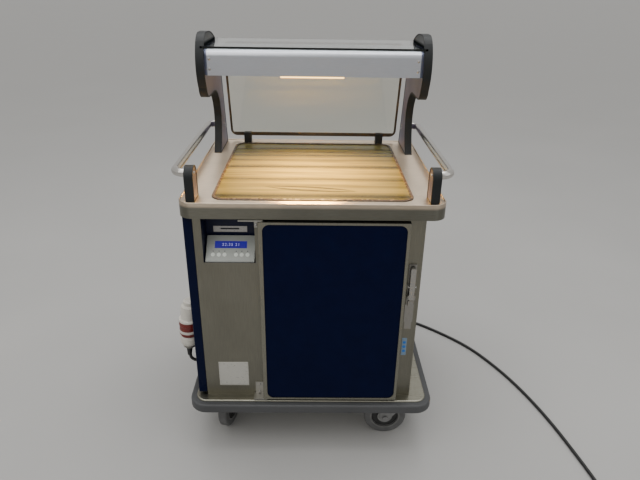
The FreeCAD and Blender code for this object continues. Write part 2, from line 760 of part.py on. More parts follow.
# ---------------------------------------------------------------- cupboard
def make_carcass():
    """Folded steel body with its door surround, vents and the bearers of the worktop."""
    skin = FRONT_FACE + SHEET
    outer = block(CUPBOARD_LEFT, CUPBOARD_RIGHT, skin, CUPBOARD_BACK, DECK_TOP, CUPBOARD_TOP)
    hollow = block(CUPBOARD_LEFT + SHEET, CUPBOARD_RIGHT - SHEET, skin,
                   CUPBOARD_BACK - SHEET, DECK_TOP + SHEET, CUPBOARD_TOP - SHEET)
    surround = block(COLUMN_RIGHT, CUPBOARD_RIGHT, FRONT_FACE, skin, FRONT_PANELS_BOTTOM,
                     CUPBOARD_TOP)
    mouth = block(CHAMBER_LEFT + LINER_WALL, CHAMBER_RIGHT - LINER_WALL, FRONT_FACE, skin,
                  CHAMBER_BOTTOM + LINER_WALL, CHAMBER_TOP - LINER_WALL)
    groove = block(GROOVE_X, GROOVE_X + GROOVE_W, FRONT_FACE, FRONT_FACE + SHEET / 2,
                   FRONT_PANELS_BOTTOM, CUPBOARD_TOP)
    kick = block(CUPBOARD_LEFT, CUPBOARD_RIGHT, skin, skin + SHEET, DECK_TOP,
                 FRONT_PANELS_BOTTOM + SHEET)
    pieces = [outer.cut(hollow), surround.cut(mouth).cut(groove), kick]
    for x in (CUPBOARD_LEFT + BEARER_SIDE_GAP, CUPBOARD_RIGHT - SHEET - BEARER_W):
        bearer = block(x, x + BEARER_W, BEARER_FRONT, BEARER_BACK, CUPBOARD_TOP - SHEET,
                       SHEET_UNDER)
        pieces.append(bearer.cut(block(x + SHEET, x + BEARER_W - SHEET, BEARER_FRONT,
                                       BEARER_BACK, CUPBOARD_TOP, SHEET_UNDER - SHEET)))
    body = fuse(pieces)
    middle = (CUPBOARD_LEFT + COLUMN_RIGHT) / 2
    for row in range(VENT_COUNT):
        z = VENT_FIRST_H + row * VENT_PITCH
        body = body.cut(block(middle - VENT_W / 2, middle + VENT_W / 2, CUPBOARD_BACK - SHEET,
                              CUPBOARD_BACK, z, z + VENT_H))
    save("carcass", body)


def make_panels():
    panel = block(CUPBOARD_LEFT, COLUMN_RIGHT, FRONT_FACE, FRONT_FACE + SHEET,
                  FRONT_PANELS_BOTTOM, CUPBOARD_TOP)
    half = RECESS_W / 2
    hole = block(CONTROL_X - half, CONTROL_X + half, FRONT_FACE, FRONT_FACE + SHEET,
                 RECESS_BOTTOM, CUPBOARD_TOP - SHEET)
    save("column_panel", panel.cut(hole))
    side = rounded_block(CUPBOARD_LEFT - SIDE_PANEL_T, CUPBOARD_LEFT, FRONT_FACE - SHEET,
                         CUPBOARD_BACK, FRONT_PANELS_BOTTOM, CUPBOARD_TOP, SIDE_PANEL_R)
    hollow = block(CUPBOARD_LEFT - SIDE_PANEL_T + SHEET, CUPBOARD_LEFT, FRONT_FACE,
                   CUPBOARD_BACK - SHEET, FRONT_PANELS_BOTTOM + SHEET, CUPBOARD_TOP - SHEET)
    save("left_side_panel", side.cut(hollow))


def chamber_block(inset, d0, d1):
    return block(CHAMBER_LEFT + inset, CHAMBER_RIGHT - inset, d0, d1, CHAMBER_BOTTOM + inset,
                 CHAMBER_TOP - inset)


def make_chamber():
    skin = FRONT_FACE + SHEET
    liner = chamber_block(0, skin, CHAMBER_BACK)
    liner = liner.cut(chamber_block(LINER_WALL, skin, CHAMBER_BACK - LINER_WALL))
    save("inner_liner", liner)
    foam = block(COLUMN_RIGHT + SHEET, CUPBOARD_RIGHT - SHEET, skin + SHEET,
                 CUPBOARD_BACK - SHEET, DECK_TOP + SHEET, CUPBOARD_TOP - SHEET)
    save("insulation", foam.cut(chamber_block(0, skin, CHAMBER_BACK)))


def make_racks():
    """Runner ladders on both walls of the chamber and the shelves that lie on them."""
    left = CHAMBER_LEFT + LINER_WALL
    right = CHAMBER_RIGHT - LINER_WALL
    floor = CHAMBER_BOTTOM + LINER_WALL
    d0, d1 = FRONT_FACE + RACK_SETBACK, CHAMBER_BACK - RACK_SETBACK
    top = floor + RUNNER_FIRST + RUNNER_PITCH * (RUNNER_LEVELS - 1) + LADDER_RISE
    levels = [floor + RUNNER_FIRST + RUNNER_PITCH * level for level in range(RUNNER_LEVELS)]
    ladders = []
    for wall, inward in ((left, 1), (right, -1)):
        back = sorted((wall, wall + inward * RACK_T))
        shelf_edge = sorted((wall, wall + inward * RUNNER_W))
        pieces = [block(back[0], back[1], d0, d1, floor, top)]
        for z in levels:
            pieces.append(block(shelf_edge[0], shelf_edge[1], d0, d1, z - RACK_T, z))
        ladders.append(fuse(pieces))
    shelves = []
    x0 = left + RACK_T + SHELF_SIDE_GAP
    x1 = right - RACK_T - SHELF_SIDE_GAP
    for level in SHELF_LEVELS:
        z = levels[level]
        tray = block(x0, x1, d0, d1, z, z + SHELF_RIM_H)
        inside = block(x0 + LINER_WALL, x1 - LINER_WALL, d0 + LINER_WALL, d1 - LINER_WALL,
                       z + LINER_WALL, z + SHELF_RIM_H)
        shelves.append(tray.cut(inside))
    save("racks_and_shelves", *(ladders + shelves))


def make_chamber_heater():
    """Tubular element in flat loops on the chamber's floor."""
    z = CHAMBER_BOTTOM + LINER_WALL + HEATER_R
    middle = (CHAMBER_LEFT + CHAMBER_RIGHT) / 2
    first = middle - HEATER_LEG_PITCH * (HEATER_LEGS - 1) / 2
    near = CHAMBER_BACK - LINER_WALL - HEATER_LEG_L
    points = []
    for leg in range(HEATER_LEGS):
        x = first + leg * HEATER_LEG_PITCH
        ends = [Vector(x, front(CHAMBER_BACK - 40), z), Vector(x, front(near), z)]
        if leg == 0:
            ends[0] = Vector(x, front(CHAMBER_BACK - LINER_WALL), z)
        if leg % 2:
            ends.reverse()
        points += ends
    points[-1] = Vector(points[-1].x, front(CHAMBER_BACK - LINER_WALL), z)
    path, _ = bent_path(points, HEATER_LEG_PITCH / 2 - 1)
    save("chamber_heater", tube(path, HEATER_R))


# ---------------------------------------------------------------- control panel
def on_fascia(shape):
    """Tip a piece drawn flat onto the slope of the control panel."""
    shape = shape.copy()
    shape.rotate(Vector(0, 0, 0), RIGHT, FASCIA_TILT)
    base_z = RECESS_BOTTOM + FASCIA_LIP_H
    return shape.translated(Vector(CONTROL_X, front(FASCIA_FRONT), base_z))


def flat_box(x0, x1, y0, y1, z0, z1):
    return Part.makeBox(x1 - x0, y1 - y0, z1 - z0, Vector(x0, y0, z0))


def make_control_box():
    half = RECESS_W / 2
    wall = RECESS_WALL
    skin = FRONT_FACE + SHEET
    top = CUPBOARD_TOP - SHEET
    outer = block(CONTROL_X - half - wall, CONTROL_X + half + wall, skin, RECESS_BACK + wall,
                  RECESS_BOTTOM - wall, top)
    inner = block(CONTROL_X - half, CONTROL_X + half, skin, RECESS_BACK, RECESS_BOTTOM, top)
    save("control_box", outer.cut(inner))


def make_fascia():
    half = FASCIA_W / 2
    plate = flat_box(-half, half, 0, FASCIA_L, -FASCIA_T, 0)
    plate = plate.cut(flat_box(-DISPLAY_W / 2, DISPLAY_W / 2, DISPLAY_UP,
                               DISPLAY_UP + DISPLAY_H, -FASCIA_T, 0))
    for offset in BUTTON_OFFSETS:
        plate = plate.cut(Part.makeCylinder(BUTTON_R + BUTTON_FIT, FASCIA_T,
                                            Vector(offset, BUTTON_UP, -FASCIA_T)))
    tilt = math.radians(FASCIA_TILT)
    reach = FASCIA_L * math.cos(tilt)
    rise = FASCIA_L * math.sin(tilt)
    base = RECESS_BOTTOM
    cheek = side_face((
        (FASCIA_FRONT, base),
        ("line", FASCIA_FRONT, base + FASCIA_LIP_H),
        ("line", FASCIA_FRONT + reach, base + FASCIA_LIP_H + rise),
        ("line", FASCIA_FRONT + reach, base),
        ("line", FASCIA_FRONT, base),
    ))
    left = CONTROL_X - half
    right = CONTROL_X + half
    lip = block(left, right, FASCIA_FRONT, FASCIA_FRONT + FASCIA_T, base, base + FASCIA_LIP_H)
    save("control_fascia", fuse([on_fascia(plate), lip, across(cheek, left, left + FASCIA_T),
                                 across(cheek, right - FASCIA_T, right)]))
    window = flat_box(-DISPLAY_W / 2, DISPLAY_W / 2, DISPLAY_UP, DISPLAY_UP + DISPLAY_H,
                      -DISPLAY_T, -DISPLAY_SUNK)
    save("display", on_fascia(window))
    for number, offset in enumerate(BUTTON_OFFSETS, start=1):
        low = -FASCIA_T - BUTTON_FLANGE_GAP - BUTTON_FLANGE_T
        cap = Part.makeCylinder(BUTTON_R, BUTTON_PROUD - low, Vector(offset, BUTTON_UP, low))
        rim = [edge for edge in cap.Edges if edge.BoundBox.ZMin > BUTTON_PROUD - 0.01]
        flange = Part.makeCylinder(BUTTON_FLANGE_R, BUTTON_FLANGE_T,
                                   Vector(offset, BUTTON_UP, low))
        save("button_%d" % number, on_fascia(fuse([cap.makeFillet(0.5, rim), flange])))


# ---------------------------------------------------------------- door
def make_door():
    body = rounded_block(DOOR_LEFT, DOOR_RIGHT, DOOR_FRONT, DOOR_BACK, DOOR_BOTTOM, DOOR_TOP,
                         DOOR_EDGE_R)
    behind = DOOR_FRONT + DOOR_FACE_T
    hollow = block(DOOR_LEFT + DOOR_WALL, DOOR_RIGHT - DOOR_WALL, behind, DOOR_BACK,
                   DOOR_BOTTOM + DOOR_WALL, DOOR_TOP - DOOR_WALL)
    pocket = rounded_block(DOOR_LEFT + INSET_LEFT_MARGIN, DOOR_RIGHT - INSET_RIGHT_MARGIN,
                           DOOR_FRONT, DOOR_FRONT + INSET_DEPTH + INSET_T,
                           DOOR_BOTTOM + INSET_END_MARGIN, DOOR_TOP - INSET_END_MARGIN,
                           INSET_R, axis=1)
    shell = body.cut(hollow)
    side = DOOR_LEFT + DOOR_WALL
    for z0, z1 in ((DOOR_BOTTOM, DOOR_BOTTOM + HINGE_BOSS), (DOOR_TOP - HINGE_BOSS, DOOR_TOP)):
        boss = block(side, side + 2 * HINGE_FROM_LEFT, behind, behind + 2 * HINGE_FROM_LEFT,
                     z0, z1)
        shell = shell.fuse(boss)
    bore = HINGE_PIN_R + HINGE_FIT
    for z, way in ((DOOR_BOTTOM, UP), (DOOR_TOP, DOWN)):
        shell = shell.cut(cylinder(HINGE_X, HINGE_FRONT, z, bore, HINGE_BORE, way))
    save("door_shell", shell.cut(pocket).removeSplitter())
    mouth = block(DOOR_LEFT, DOOR_RIGHT, DOOR_FRONT, DOOR_FRONT + INSET_DEPTH, DOOR_BOTTOM,
                  DOOR_TOP)
    save("door_inset", pocket.cut(mouth))
    save("door_back", block(DOOR_LEFT + DOOR_WALL, DOOR_RIGHT - DOOR_WALL,
                            DOOR_BACK - DOOR_WALL, DOOR_BACK, DOOR_BOTTOM + DOOR_WALL,
                            DOOR_TOP - DOOR_WALL))

    def ring(margin):
        return rounded_block(DOOR_LEFT + margin, DOOR_RIGHT - margin, DOOR_BACK,
                             DOOR_BACK + GASKET_T, DOOR_BOTTOM + margin, DOOR_TOP - margin,
                             22 - margin / 2, axis=1)

    save("door_gasket", ring(GASKET_MARGIN).cut(ring(GASKET_MARGIN + GASKET_W)))


def make_hinges():
    """Two arms screwed to the column, each with the pin that the door turns on."""
    arms = []
    for edge, way, reach, width, height in HINGES:
        near = edge + way * ARM_GAP
        far = near + way * ARM_T
        z0, z1 = min(near, far), max(near, far)
        left = HINGE_X - reach
        plate = block(left, HINGE_X, HINGE_FRONT - ARM_NOSE_R, FRONT_FACE, z0, z1)
        nose = Part.makeCylinder(ARM_NOSE_R, ARM_T, Vector(HINGE_X, front(HINGE_FRONT), z0))
        pin_bottom = min(near, edge - way * HINGE_PIN_IN_DOOR)
        pin = Part.makeCylinder(HINGE_PIN_R, HINGE_PIN_IN_DOOR + ARM_GAP,
                                Vector(HINGE_X, front(HINGE_FRONT), pin_bottom))
        tab_right = DOOR_LEFT - TAB_GAP
        tab_left = tab_right - width
        tab_z = sorted((far, far - way * height))
        tab = block(tab_left, tab_right, FRONT_FACE - TAB_T, FRONT_FACE, tab_z[0], tab_z[1])
        arms.append(fuse([plate, nose, pin, tab]))
    save("hinge_arms", *arms)


# ---------------------------------------------------------------- latch
def make_latch():
    half = LATCH_W / 2
    pivot = LATCH_PIVOT_FROM_FRONT
    pin_x = half + LATCH_EAR_GAP + LATCH_EAR_T
    base_d = FRONT_FACE - LATCH_BASE_T
    base = block(LATCH_X - pin_x, LATCH_X + pin_x, base_d, FRONT_FACE, LATCH_BASE_BOTTOM_Z,
                 LATCH_BASE_TOP_Z)
    pieces = [base]
    for side in (-1, 1):
        near = LATCH_X + side * (half + LATCH_EAR_GAP)
        xs = sorted((near, near + side * LATCH_EAR_T))
        pieces.append(block(xs[0], xs[1], pivot - 5, base_d, LATCH_PIVOT_Z - 8,
                            LATCH_PIVOT_Z + 8))
    boss = block(LATCH_X - half, LATCH_X + half, pivot + 2, base_d, LATCH_BASE_BOTTOM_Z,
                 LATCH_PIVOT_Z - LATCH_TAIL - 6)
    pin = cylinder(LATCH_X - pin_x - 1, pivot, LATCH_PIVOT_Z, LATCH_PIN_R, 2 * pin_x + 2, RIGHT)
    cover = block(LATCH_X - COVER_PLATE_W / 2, LATCH_X + COVER_PLATE_W / 2,
                  FRONT_FACE - COVER_PLATE_T, FRONT_FACE, COVER_PLATE_BOTTOM_Z,
                  LATCH_BASE_BOTTOM_Z)
    small = block(LATCH_X - SMALL_PLATE_W / 2, LATCH_X + SMALL_PLATE_W / 2,
                  FRONT_FACE - COVER_PLATE_T, FRONT_FACE, SMALL_PLATE_BOTTOM_Z,
                  COVER_PLATE_BOTTOM_Z)
    save("latch_base", fuse(pieces + [boss, pin, cover, small]))
    lever = rounded_block(LATCH_X - half, LATCH_X + half, pivot - LATCH_T / 2,
                          pivot + LATCH_T / 2, LATCH_PIVOT_Z - LATCH_TAIL, LATCH_TOP_Z, 4,
                          axis=1)
    lever = lever.fuse(cylinder(LATCH_X - LATCH_ROLLER_L / 2, pivot, LATCH_ROLLER_Z,
                                LATCH_PIN_R, LATCH_ROLLER_L, RIGHT))
    bore = cylinder(LATCH_X - half, pivot, LATCH_PIVOT_Z, LATCH_PIN_R + LATCH_FIT, LATCH_W,
                    RIGHT)
    save("latch_lever", lever.cut(bore))
    save("door_keeper", block(DOOR_RIGHT, DOOR_RIGHT + KEEPER_T, DOOR_BACK - KEEPER_D - 4,
                              DOOR_BACK - 4, LATCH_ROLLER_Z - KEEPER_H / 2,
                              LATCH_ROLLER_Z + KEEPER_H / 2))


# ---------------------------------------------------------------- base
def deck_layer(grow, z0, z1):
    half = DECK_HALF_W + grow
    return rounded_block(-half, half, -DECK_D_MARGIN - grow, WORKTOP_D + DECK_D_MARGIN + grow,
                         z0, z1, DECK_CORNER_R + grow)


def make_deck():
    bottom = DECK_TOP - DECK_SKIRT_H
    shells = []
    for inset in (0, SHEET):
        layer = deck_layer(-inset, bottom, DECK_TOP - inset)
        rim = [edge for edge in layer.Edges if edge.BoundBox.ZMin > DECK_TOP - inset - 0.01]
        shells.append(layer.makeFillet(DECK_EDGE_R - inset, rim))
    save("deck_tray", shells[0].cut(shells[1]))
    low = BUMPER_TOP - BUMPER_H
    bumper = deck_layer(BUMPER_OUT, low, BUMPER_TOP)
    ends = [edge for edge in bumper.Edges
            if edge.BoundBox.ZMax - edge.BoundBox.ZMin < 0.01]
    bumper = bumper.makeFillet(BUMPER_ROUND, ends)
    save("bumper", bumper.cut(deck_layer(0, low, BUMPER_TOP)))


def make_chassis():
    top = DECK_TOP - SHEET
    wall = CHASSIS_WALL
    pieces = []
    for depth in (CASTER_FRONT, CASTER_BACK):
        d0, d1 = depth - CROSS_MEMBER_W / 2, depth + CROSS_MEMBER_W / 2
        bar = block(-CROSS_MEMBER_END, CROSS_MEMBER_END, d0, d1, CHASSIS_BOTTOM, top)
        pieces.append(bar.cut(block(-CROSS_MEMBER_END, CROSS_MEMBER_END, d0 + wall, d1 - wall,
                                    CHASSIS_BOTTOM + wall, top - wall)))
    d0 = CASTER_FRONT + CROSS_MEMBER_W / 2
    d1 = CASTER_BACK - CROSS_MEMBER_W / 2
    for side in (-1, 1):
        x0 = side * CASTER_X - SIDE_MEMBER_W / 2
        bar = block(x0, x0 + SIDE_MEMBER_W, d0, d1, CHASSIS_BOTTOM, top)
        pieces.append(bar.cut(block(x0 + wall, x0 + SIDE_MEMBER_W - wall, d0, d1,
                                    CHASSIS_BOTTOM + wall, top - wall)))
    save("chassis", fuse(pieces))


# ---------------------------------------------------------------- casters
# A caster is drawn with its swivel axis at the origin and its wheel trailing along +X.
def flat_cylinder(x, y, z, radius, length, direction):
    return Part.makeCylinder(radius, length, Vector(x, y, z), direction)


RACE_BOTTOM = CHASSIS_BOTTOM - TOP_PLATE_T - RACE_H
CROWN_TOP = RACE_BOTTOM - CROWN_GAP
CROWN_BOTTOM = CROWN_TOP - CROWN_T


def top_plate():
    z = CHASSIS_BOTTOM - TOP_PLATE_T
    plate = flat_box(-TOP_PLATE_L / 2, TOP_PLATE_L / 2, -TOP_PLATE_W / 2, TOP_PLATE_W / 2, z,
                     CHASSIS_BOTTOM)
    race = flat_cylinder(0, 0, z, RACE_R, RACE_H, DOWN)
    pin = flat_cylinder(0, 0, RACE_BOTTOM, KINGPIN_R, CROWN_T + 2 * CROWN_GAP, DOWN)
    head = flat_cylinder(0, 0, CROWN_BOTTOM - CROWN_GAP, KINGPIN_HEAD_R, KINGPIN_HEAD_H, DOWN)
    return fuse([plate, race, pin, head])


def fork(has_brake):
    crown = flat_cylinder(0, 0, CROWN_BOTTOM, RACE_R, CROWN_T, UP)
    crown = crown.cut(flat_cylinder(0, 0, CROWN_BOTTOM, KINGPIN_R + RUNNING_FIT, CROWN_T, UP))
    eye = Vector(CASTER_TRAIL, 0, WHEEL_R)
    low = Vector(0, 0, -FORK_EYE_R)
    left_eye = eye - Vector(FORK_EYE_R, 0, 0)
    right_eye = eye + Vector(FORK_EYE_R, 0, 0)
    neck_z = CROWN_TOP - FORK_NECK_DROP
    corners = [right_eye, Vector(FORK_HEAD_FRONT, 0, neck_z),
               Vector(FORK_HEAD_FRONT, 0, CROWN_TOP), Vector(-FORK_HEAD_BACK, 0, CROWN_TOP),
               Vector(-FORK_HEAD_BACK, 0, neck_z), left_eye]
    edges = [Part.LineSegment(a, b).toShape() for a, b in zip(corners, corners[1:])]
    edges.append(arc(left_eye, eye + low, right_eye))
    leg_face = Part.Face(Part.Wire(edges))
    inner = FORK_GAP / 2
    outer = inner + FORK_WALL
    pieces = [crown]
    for y0 in (inner, -outer):
        pieces.append(leg_face.translated(Vector(0, y0, 0)).extrude(Vector(0, FORK_WALL, 0)))
    bridge = flat_box(-FORK_HEAD_BACK, RACE_R, -outer, outer, CROWN_BOTTOM, CROWN_TOP)
    pieces.append(bridge.cut(flat_cylinder(0, 0, CROWN_BOTTOM, KINGPIN_R + RUNNING_FIT,
                                           CROWN_T, UP)))
    axle = flat_cylinder(CASTER_TRAIL, -outer, WHEEL_R, AXLE_R, 2 * outer, BACK)
    pieces.append(axle)
    for y0 in (outer, -outer - BOLT_HEAD_T):
        pieces.append(flat_cylinder(CASTER_TRAIL, y0, WHEEL_R, BOLT_HEAD_R, BOLT_HEAD_T, BACK))
    if has_brake:
        pieces.append(flat_cylinder(PEDAL_PIVOT_OUT, -outer, PEDAL_PIVOT_Z, PEDAL_PIN_R,
                                    2 * outer, BACK))
    return fuse(pieces)


def wheel():
    tyre = flat_cylinder(CASTER_TRAIL, -WHEEL_W / 2, WHEEL_R, WHEEL_R, WHEEL_W, BACK)
    rims = [edge for edge in tyre.Edges if edge.Curve.TypeId == "Part::GeomCircle"]
    tyre = tyre.makeFillet(TYRE_ROUND, rims)
    tyre = tyre.cut(flat_cylinder(CASTER_TRAIL, -WHEEL_W / 2, WHEEL_R, HUB_R, WHEEL_W, BACK))
    hub = flat_cylinder(CASTER_TRAIL, -WHEEL_W / 2, WHEEL_R, HUB_R, WHEEL_W, BACK)
    dish = WHEEL_W / 4
    for y0 in (-WHEEL_W / 2, WHEEL_W / 2 - dish):
        groove = flat_cylinder(CASTER_TRAIL, y0, WHEEL_R, HUB_R - 6, dish, BACK)
        groove = groove.cut(flat_cylinder(CASTER_TRAIL, y0, WHEEL_R, HUB_R / 2, dish, BACK))
        hub = hub.cut(groove)
    boss = flat_cylinder(CASTER_TRAIL, -HUB_W / 2, WHEEL_R, 2.4 * AXLE_R, HUB_W, BACK)
    hub = hub.fuse(boss).removeSplitter()
    bore = flat_cylinder(CASTER_TRAIL, -HUB_W / 2, WHEEL_R, AXLE_R + RUNNING_FIT, HUB_W, BACK)
    return [tyre, hub.cut(bore)]


def pedal():
    z0 = PEDAL_PIVOT_Z - PEDAL_T / 2
    arm = flat_box(PEDAL_PIVOT_OUT - PEDAL_T / 2, PEDAL_PIVOT_OUT + PEDAL_L / 2, -PEDAL_W / 2,
                   PEDAL_W / 2, z0, z0 + PEDAL_T)
    tread = flat_box(PEDAL_PIVOT_OUT + PEDAL_L / 3, PEDAL_PIVOT_OUT + PEDAL_L,
                     -PEDAL_FLARE_W / 2, PEDAL_FLARE_W / 2, z0, z0 + PEDAL_T)
    tread = tread.makeFillet(5, edges_along(tread, 2))
    bore = flat_cylinder(PEDAL_PIVOT_OUT, -PEDAL_W / 2, PEDAL_PIVOT_Z,
                         PEDAL_PIN_R + RUNNING_FIT, PEDAL_W, BACK)
    return arm.fuse(tread).removeSplitter().cut(bore)


def make_casters():
    plates = []
    for name, side, depth, heading, has_brake in CASTERS:
        def place(shape):
            shape = shape.copy()
            shape.rotate(Vector(0, 0, 0), UP, heading)
            return shape.translated(Vector(side * CASTER_X, front(depth), 0))

        plates.append(place(top_plate()))
        save("%s_fork" % name, place(fork(has_brake)))
        save("%s_wheel" % name, *[place(piece) for piece in wheel()])
        if has_brake:
            save("%s_pedal" % name, place(pedal()))
    save("caster_plates", *plates)


# ---------------------------------------------------------------- mains inlet and cord
def tilted(shape):
    """Swing a piece of the inlet outwards about the top of its housing."""
    shape = shape.copy()
    return shape.rotate(Vector(INLET_X, front(INLET_FROM_FRONT), INLET_TOP), BACK, INLET_TILT)


def make_inlet():
    """Inlet housing on its bracket, open downwards, and the connector pushed into it."""
    z = INLET_TOP
    shoulder = z - INLET_CAP_H
    body = shoulder - INLET_SHOULDER_H
    flange = body - INLET_CYLINDER_H
    collar = flange - INLET_FLANGE_H
    housing = revolved((
        (INLET_COLLAR_R, INLET_BOTTOM), (INLET_COLLAR_R, collar),
        (INLET_FLANGE_R, collar + 4), (INLET_FLANGE_R, flange - 4), (INLET_R, flange),
        (INLET_R, body), (INLET_R - 2, shoulder - 6), (INLET_CAP_R, shoulder),
        (INLET_CAP_R, z - 5), (INLET_CAP_R - 6, z),
    ), INLET_X, INLET_FROM_FRONT, 0, UP)
    side = CUPBOARD_LEFT - SIDE_PANEL_T
    middle = (body + flange) / 2
    bracket = block(INLET_X, side, INLET_FROM_FRONT - BRACKET_W / 2,
                    INLET_FROM_FRONT + BRACKET_W / 2, middle - BRACKET_H / 2,
                    middle + BRACKET_H / 2)
    save("mains_inlet", tilted(housing).fuse(bracket).removeSplitter())
    neck = INLET_BOTTOM - CONNECTOR_NECK_H
    bulb = neck - CONNECTOR_BODY_H
    connector = revolved((
        (GLAND_R - 5, CORD_EXIT_Z), (GLAND_R, CORD_EXIT_Z + 3), (GLAND_R, bulb),
        (CONNECTOR_BODY_R - 4, bulb + 6), (CONNECTOR_BODY_R, bulb + 16),
        (CONNECTOR_BODY_R, neck - 6), (CONNECTOR_NECK_R, neck),
        (CONNECTOR_NECK_R, INLET_BOTTOM),
    ), INLET_X, INLET_FROM_FRONT, 0, UP)
    save("connector", tilted(connector))


CORD_DROP = INLET_TOP - CORD_EXIT_Z


def below_inlet(drop):
    """Point on the tilted axis of the inlet, this far below its top."""
    return (INLET_X - drop * math.sin(INLET_LEAN), INLET_FROM_FRONT,
            INLET_TOP - drop * math.cos(INLET_LEAN))


# The lead hangs from the connector, lies round the back of the trolley and comes
# forward on its right side. (x, depth from the front edge, z)
CORD_ROUTE = (
    below_inlet(CORD_DROP), below_inlet(CORD_DROP + 34),
    (-446.5, 212, 221), (-437, 238, 192), (-431, 278, 160), (-430, 326, 130),
    (-431, 382, 98), (-433, 444, 66), (-436, 510, 38), (-438, 578, 17),
    (-436, 646, CORD_R), (-424, 716, CORD_R),
    (-385, 792, CORD_R), (-310, 852, CORD_R), (-205, 885, CORD_R), (-75, 898, CORD_R),
    (75, 896, CORD_R), (225, 884, CORD_R), (370, 850, CORD_R), (505, 778, CORD_R),
    (610, 690, CORD_R), (712, 585, CORD_R), (795, 440, CORD_R), (858, 285, CORD_R),
    (905, 110, CORD_R), (932, -45, CORD_R), (948, -150, CORD_R), (COIL_START_X, -225, CORD_R),
    (COIL_START_X, COIL_FROM_FRONT, CORD_R),
)


def coil_point(turn):
    """Centre line of the coil, in and out again in two layers, after so many turns."""
    middle = COIL_TURNS / 2
    radius = COIL_INNER_R + COIL_PITCH * abs(turn - middle)
    climb = min(1.0, max(0.0, (turn - middle) / 0.5 + 0.5))
    climb = (1 - math.cos(math.pi * climb)) / 2
    angle = -2 * math.pi * turn
    return Vector(COIL_X + radius * math.cos(angle),
                  front(COIL_FROM_FRONT) + radius * math.sin(angle),
                  CORD_R + COIL_PITCH * climb)


def coil_heading(turn):
    step = 0.002
    return (coil_point(turn + step) - coil_point(turn - step)).normalize()


def least_gap(points, skip):
    """Smallest clear distance between stretches of a bar that are not neighbours."""
    nearest = min((points[i] - points[j]).Length
                  for i in range(len(points)) for j in range(i + skip, len(points)))
    return nearest - 2 * CORD_R


PLUG_START = Vector(COIL_X - 36, front(COIL_FROM_FRONT) - COIL_OUTER_R - 40, PLUG_COLLAR_R)


def make_cord():
    route = [Vector(x, front(depth), z) for x, depth, z in CORD_ROUTE]
    path, radii = bent_path(route)
    print("  lead length %.0f, bend radii %s" % (path.Length, [round(r) for r in radii]))
    save("power_cord", tube(path, CORD_R))
    quarters = int(COIL_TURNS * 4)
    turns = [quarter / 4 for quarter in range(quarters + 1)]
    points = [coil_point(turn) for turn in turns]
    headings = [coil_heading(turn) for turn in turns]
    headings[0] = Vector(0, -1, 0)
    headings[-1] = Vector(0, -1, 0)
    points.append(PLUG_START - PLUG_HEADING * 2 * CORD_R)
    headings.append(PLUG_HEADING)
    arcs = []
    for i in range(len(points) - 1):
        arcs += biarc(points[i], headings[i], points[i + 1], headings[i + 1])
    arcs.append(Part.LineSegment(points[-1], PLUG_START).toShape())
    coil = Part.Wire(arcs)
    save("cord_coil", tube(coil, CORD_R))
    samples = coil.discretize(Number=400)
    gap = least_gap(samples, 30)
    print("  coil length %.0f, least gap to itself %.2f" % (coil.Length, gap))


def make_plug():
    """Plug on its side on the floor, with its round shroud and pins."""
    grip = PLUG_GRIP_L
    end = grip + PLUG_COLLAR_L
    body = revolved((
        (CORD_R + 4, 0), (GLAND_R - 2, 4), (GLAND_R - 2, 16), (PLUG_GRIP_R, 22),
        (PLUG_R, grip - 8), (PLUG_COLLAR_R, grip), (PLUG_COLLAR_R, end),
    ), 0, 0, 0, UP)
    body = body.cut(flat_cylinder(0, front(0), end, PLUG_COLLAR_R - PLUG_SHROUD_WALL,
                                  PLUG_SHROUD_DEPTH, DOWN))
    floor = end - PLUG_SHROUD_DEPTH
    for pin in range(PLUG_PINS):
        angle = 2 * math.pi * pin / PLUG_PINS
        body = body.fuse(flat_cylinder(PLUG_PIN_RING_R * math.cos(angle),
                                       front(0) + PLUG_PIN_RING_R * math.sin(angle), floor,
                                       PLUG_PIN_R, PLUG_PIN_L, UP))
    body = body.translated(Vector(0, -front(0), 0))
    body.rotate(Vector(0, 0, 0), BACK, -90)
    save("plug", body.translated(PLUG_START))


# ---------------------------------------------------------------- the whole trolley
for make in (make_worktop, make_plate, make_cheeks, make_handles, make_glass, make_bridge,
             make_lamps, make_screws, make_carcass, make_panels, make_chamber, make_racks,
             make_chamber_heater, make_control_box, make_fascia, make_door, make_hinges,
             make_latch, make_deck, make_chassis, make_casters, make_inlet, make_cord,
             make_plug):
    make()

for name, shape in NODES.items():
    assert shape.isValid() and shape.Volume > 0, name
    box = shape.BoundBox
    print("%-18s %2d solid %10.0f mm3  X %7.1f %7.1f  Y %7.1f %7.1f  Z %7.1f %7.1f" % (
        name, len(shape.Solids), shape.Volume, box.XMin, box.XMax, box.YMin, box.YMax,
        box.ZMin, box.ZMax))
print("nodes", len(NODES))
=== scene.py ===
import math

import bpy
from bpy.props import FloatProperty, FloatVectorProperty, StringProperty, PointerProperty
from mathutils import Matrix, Vector


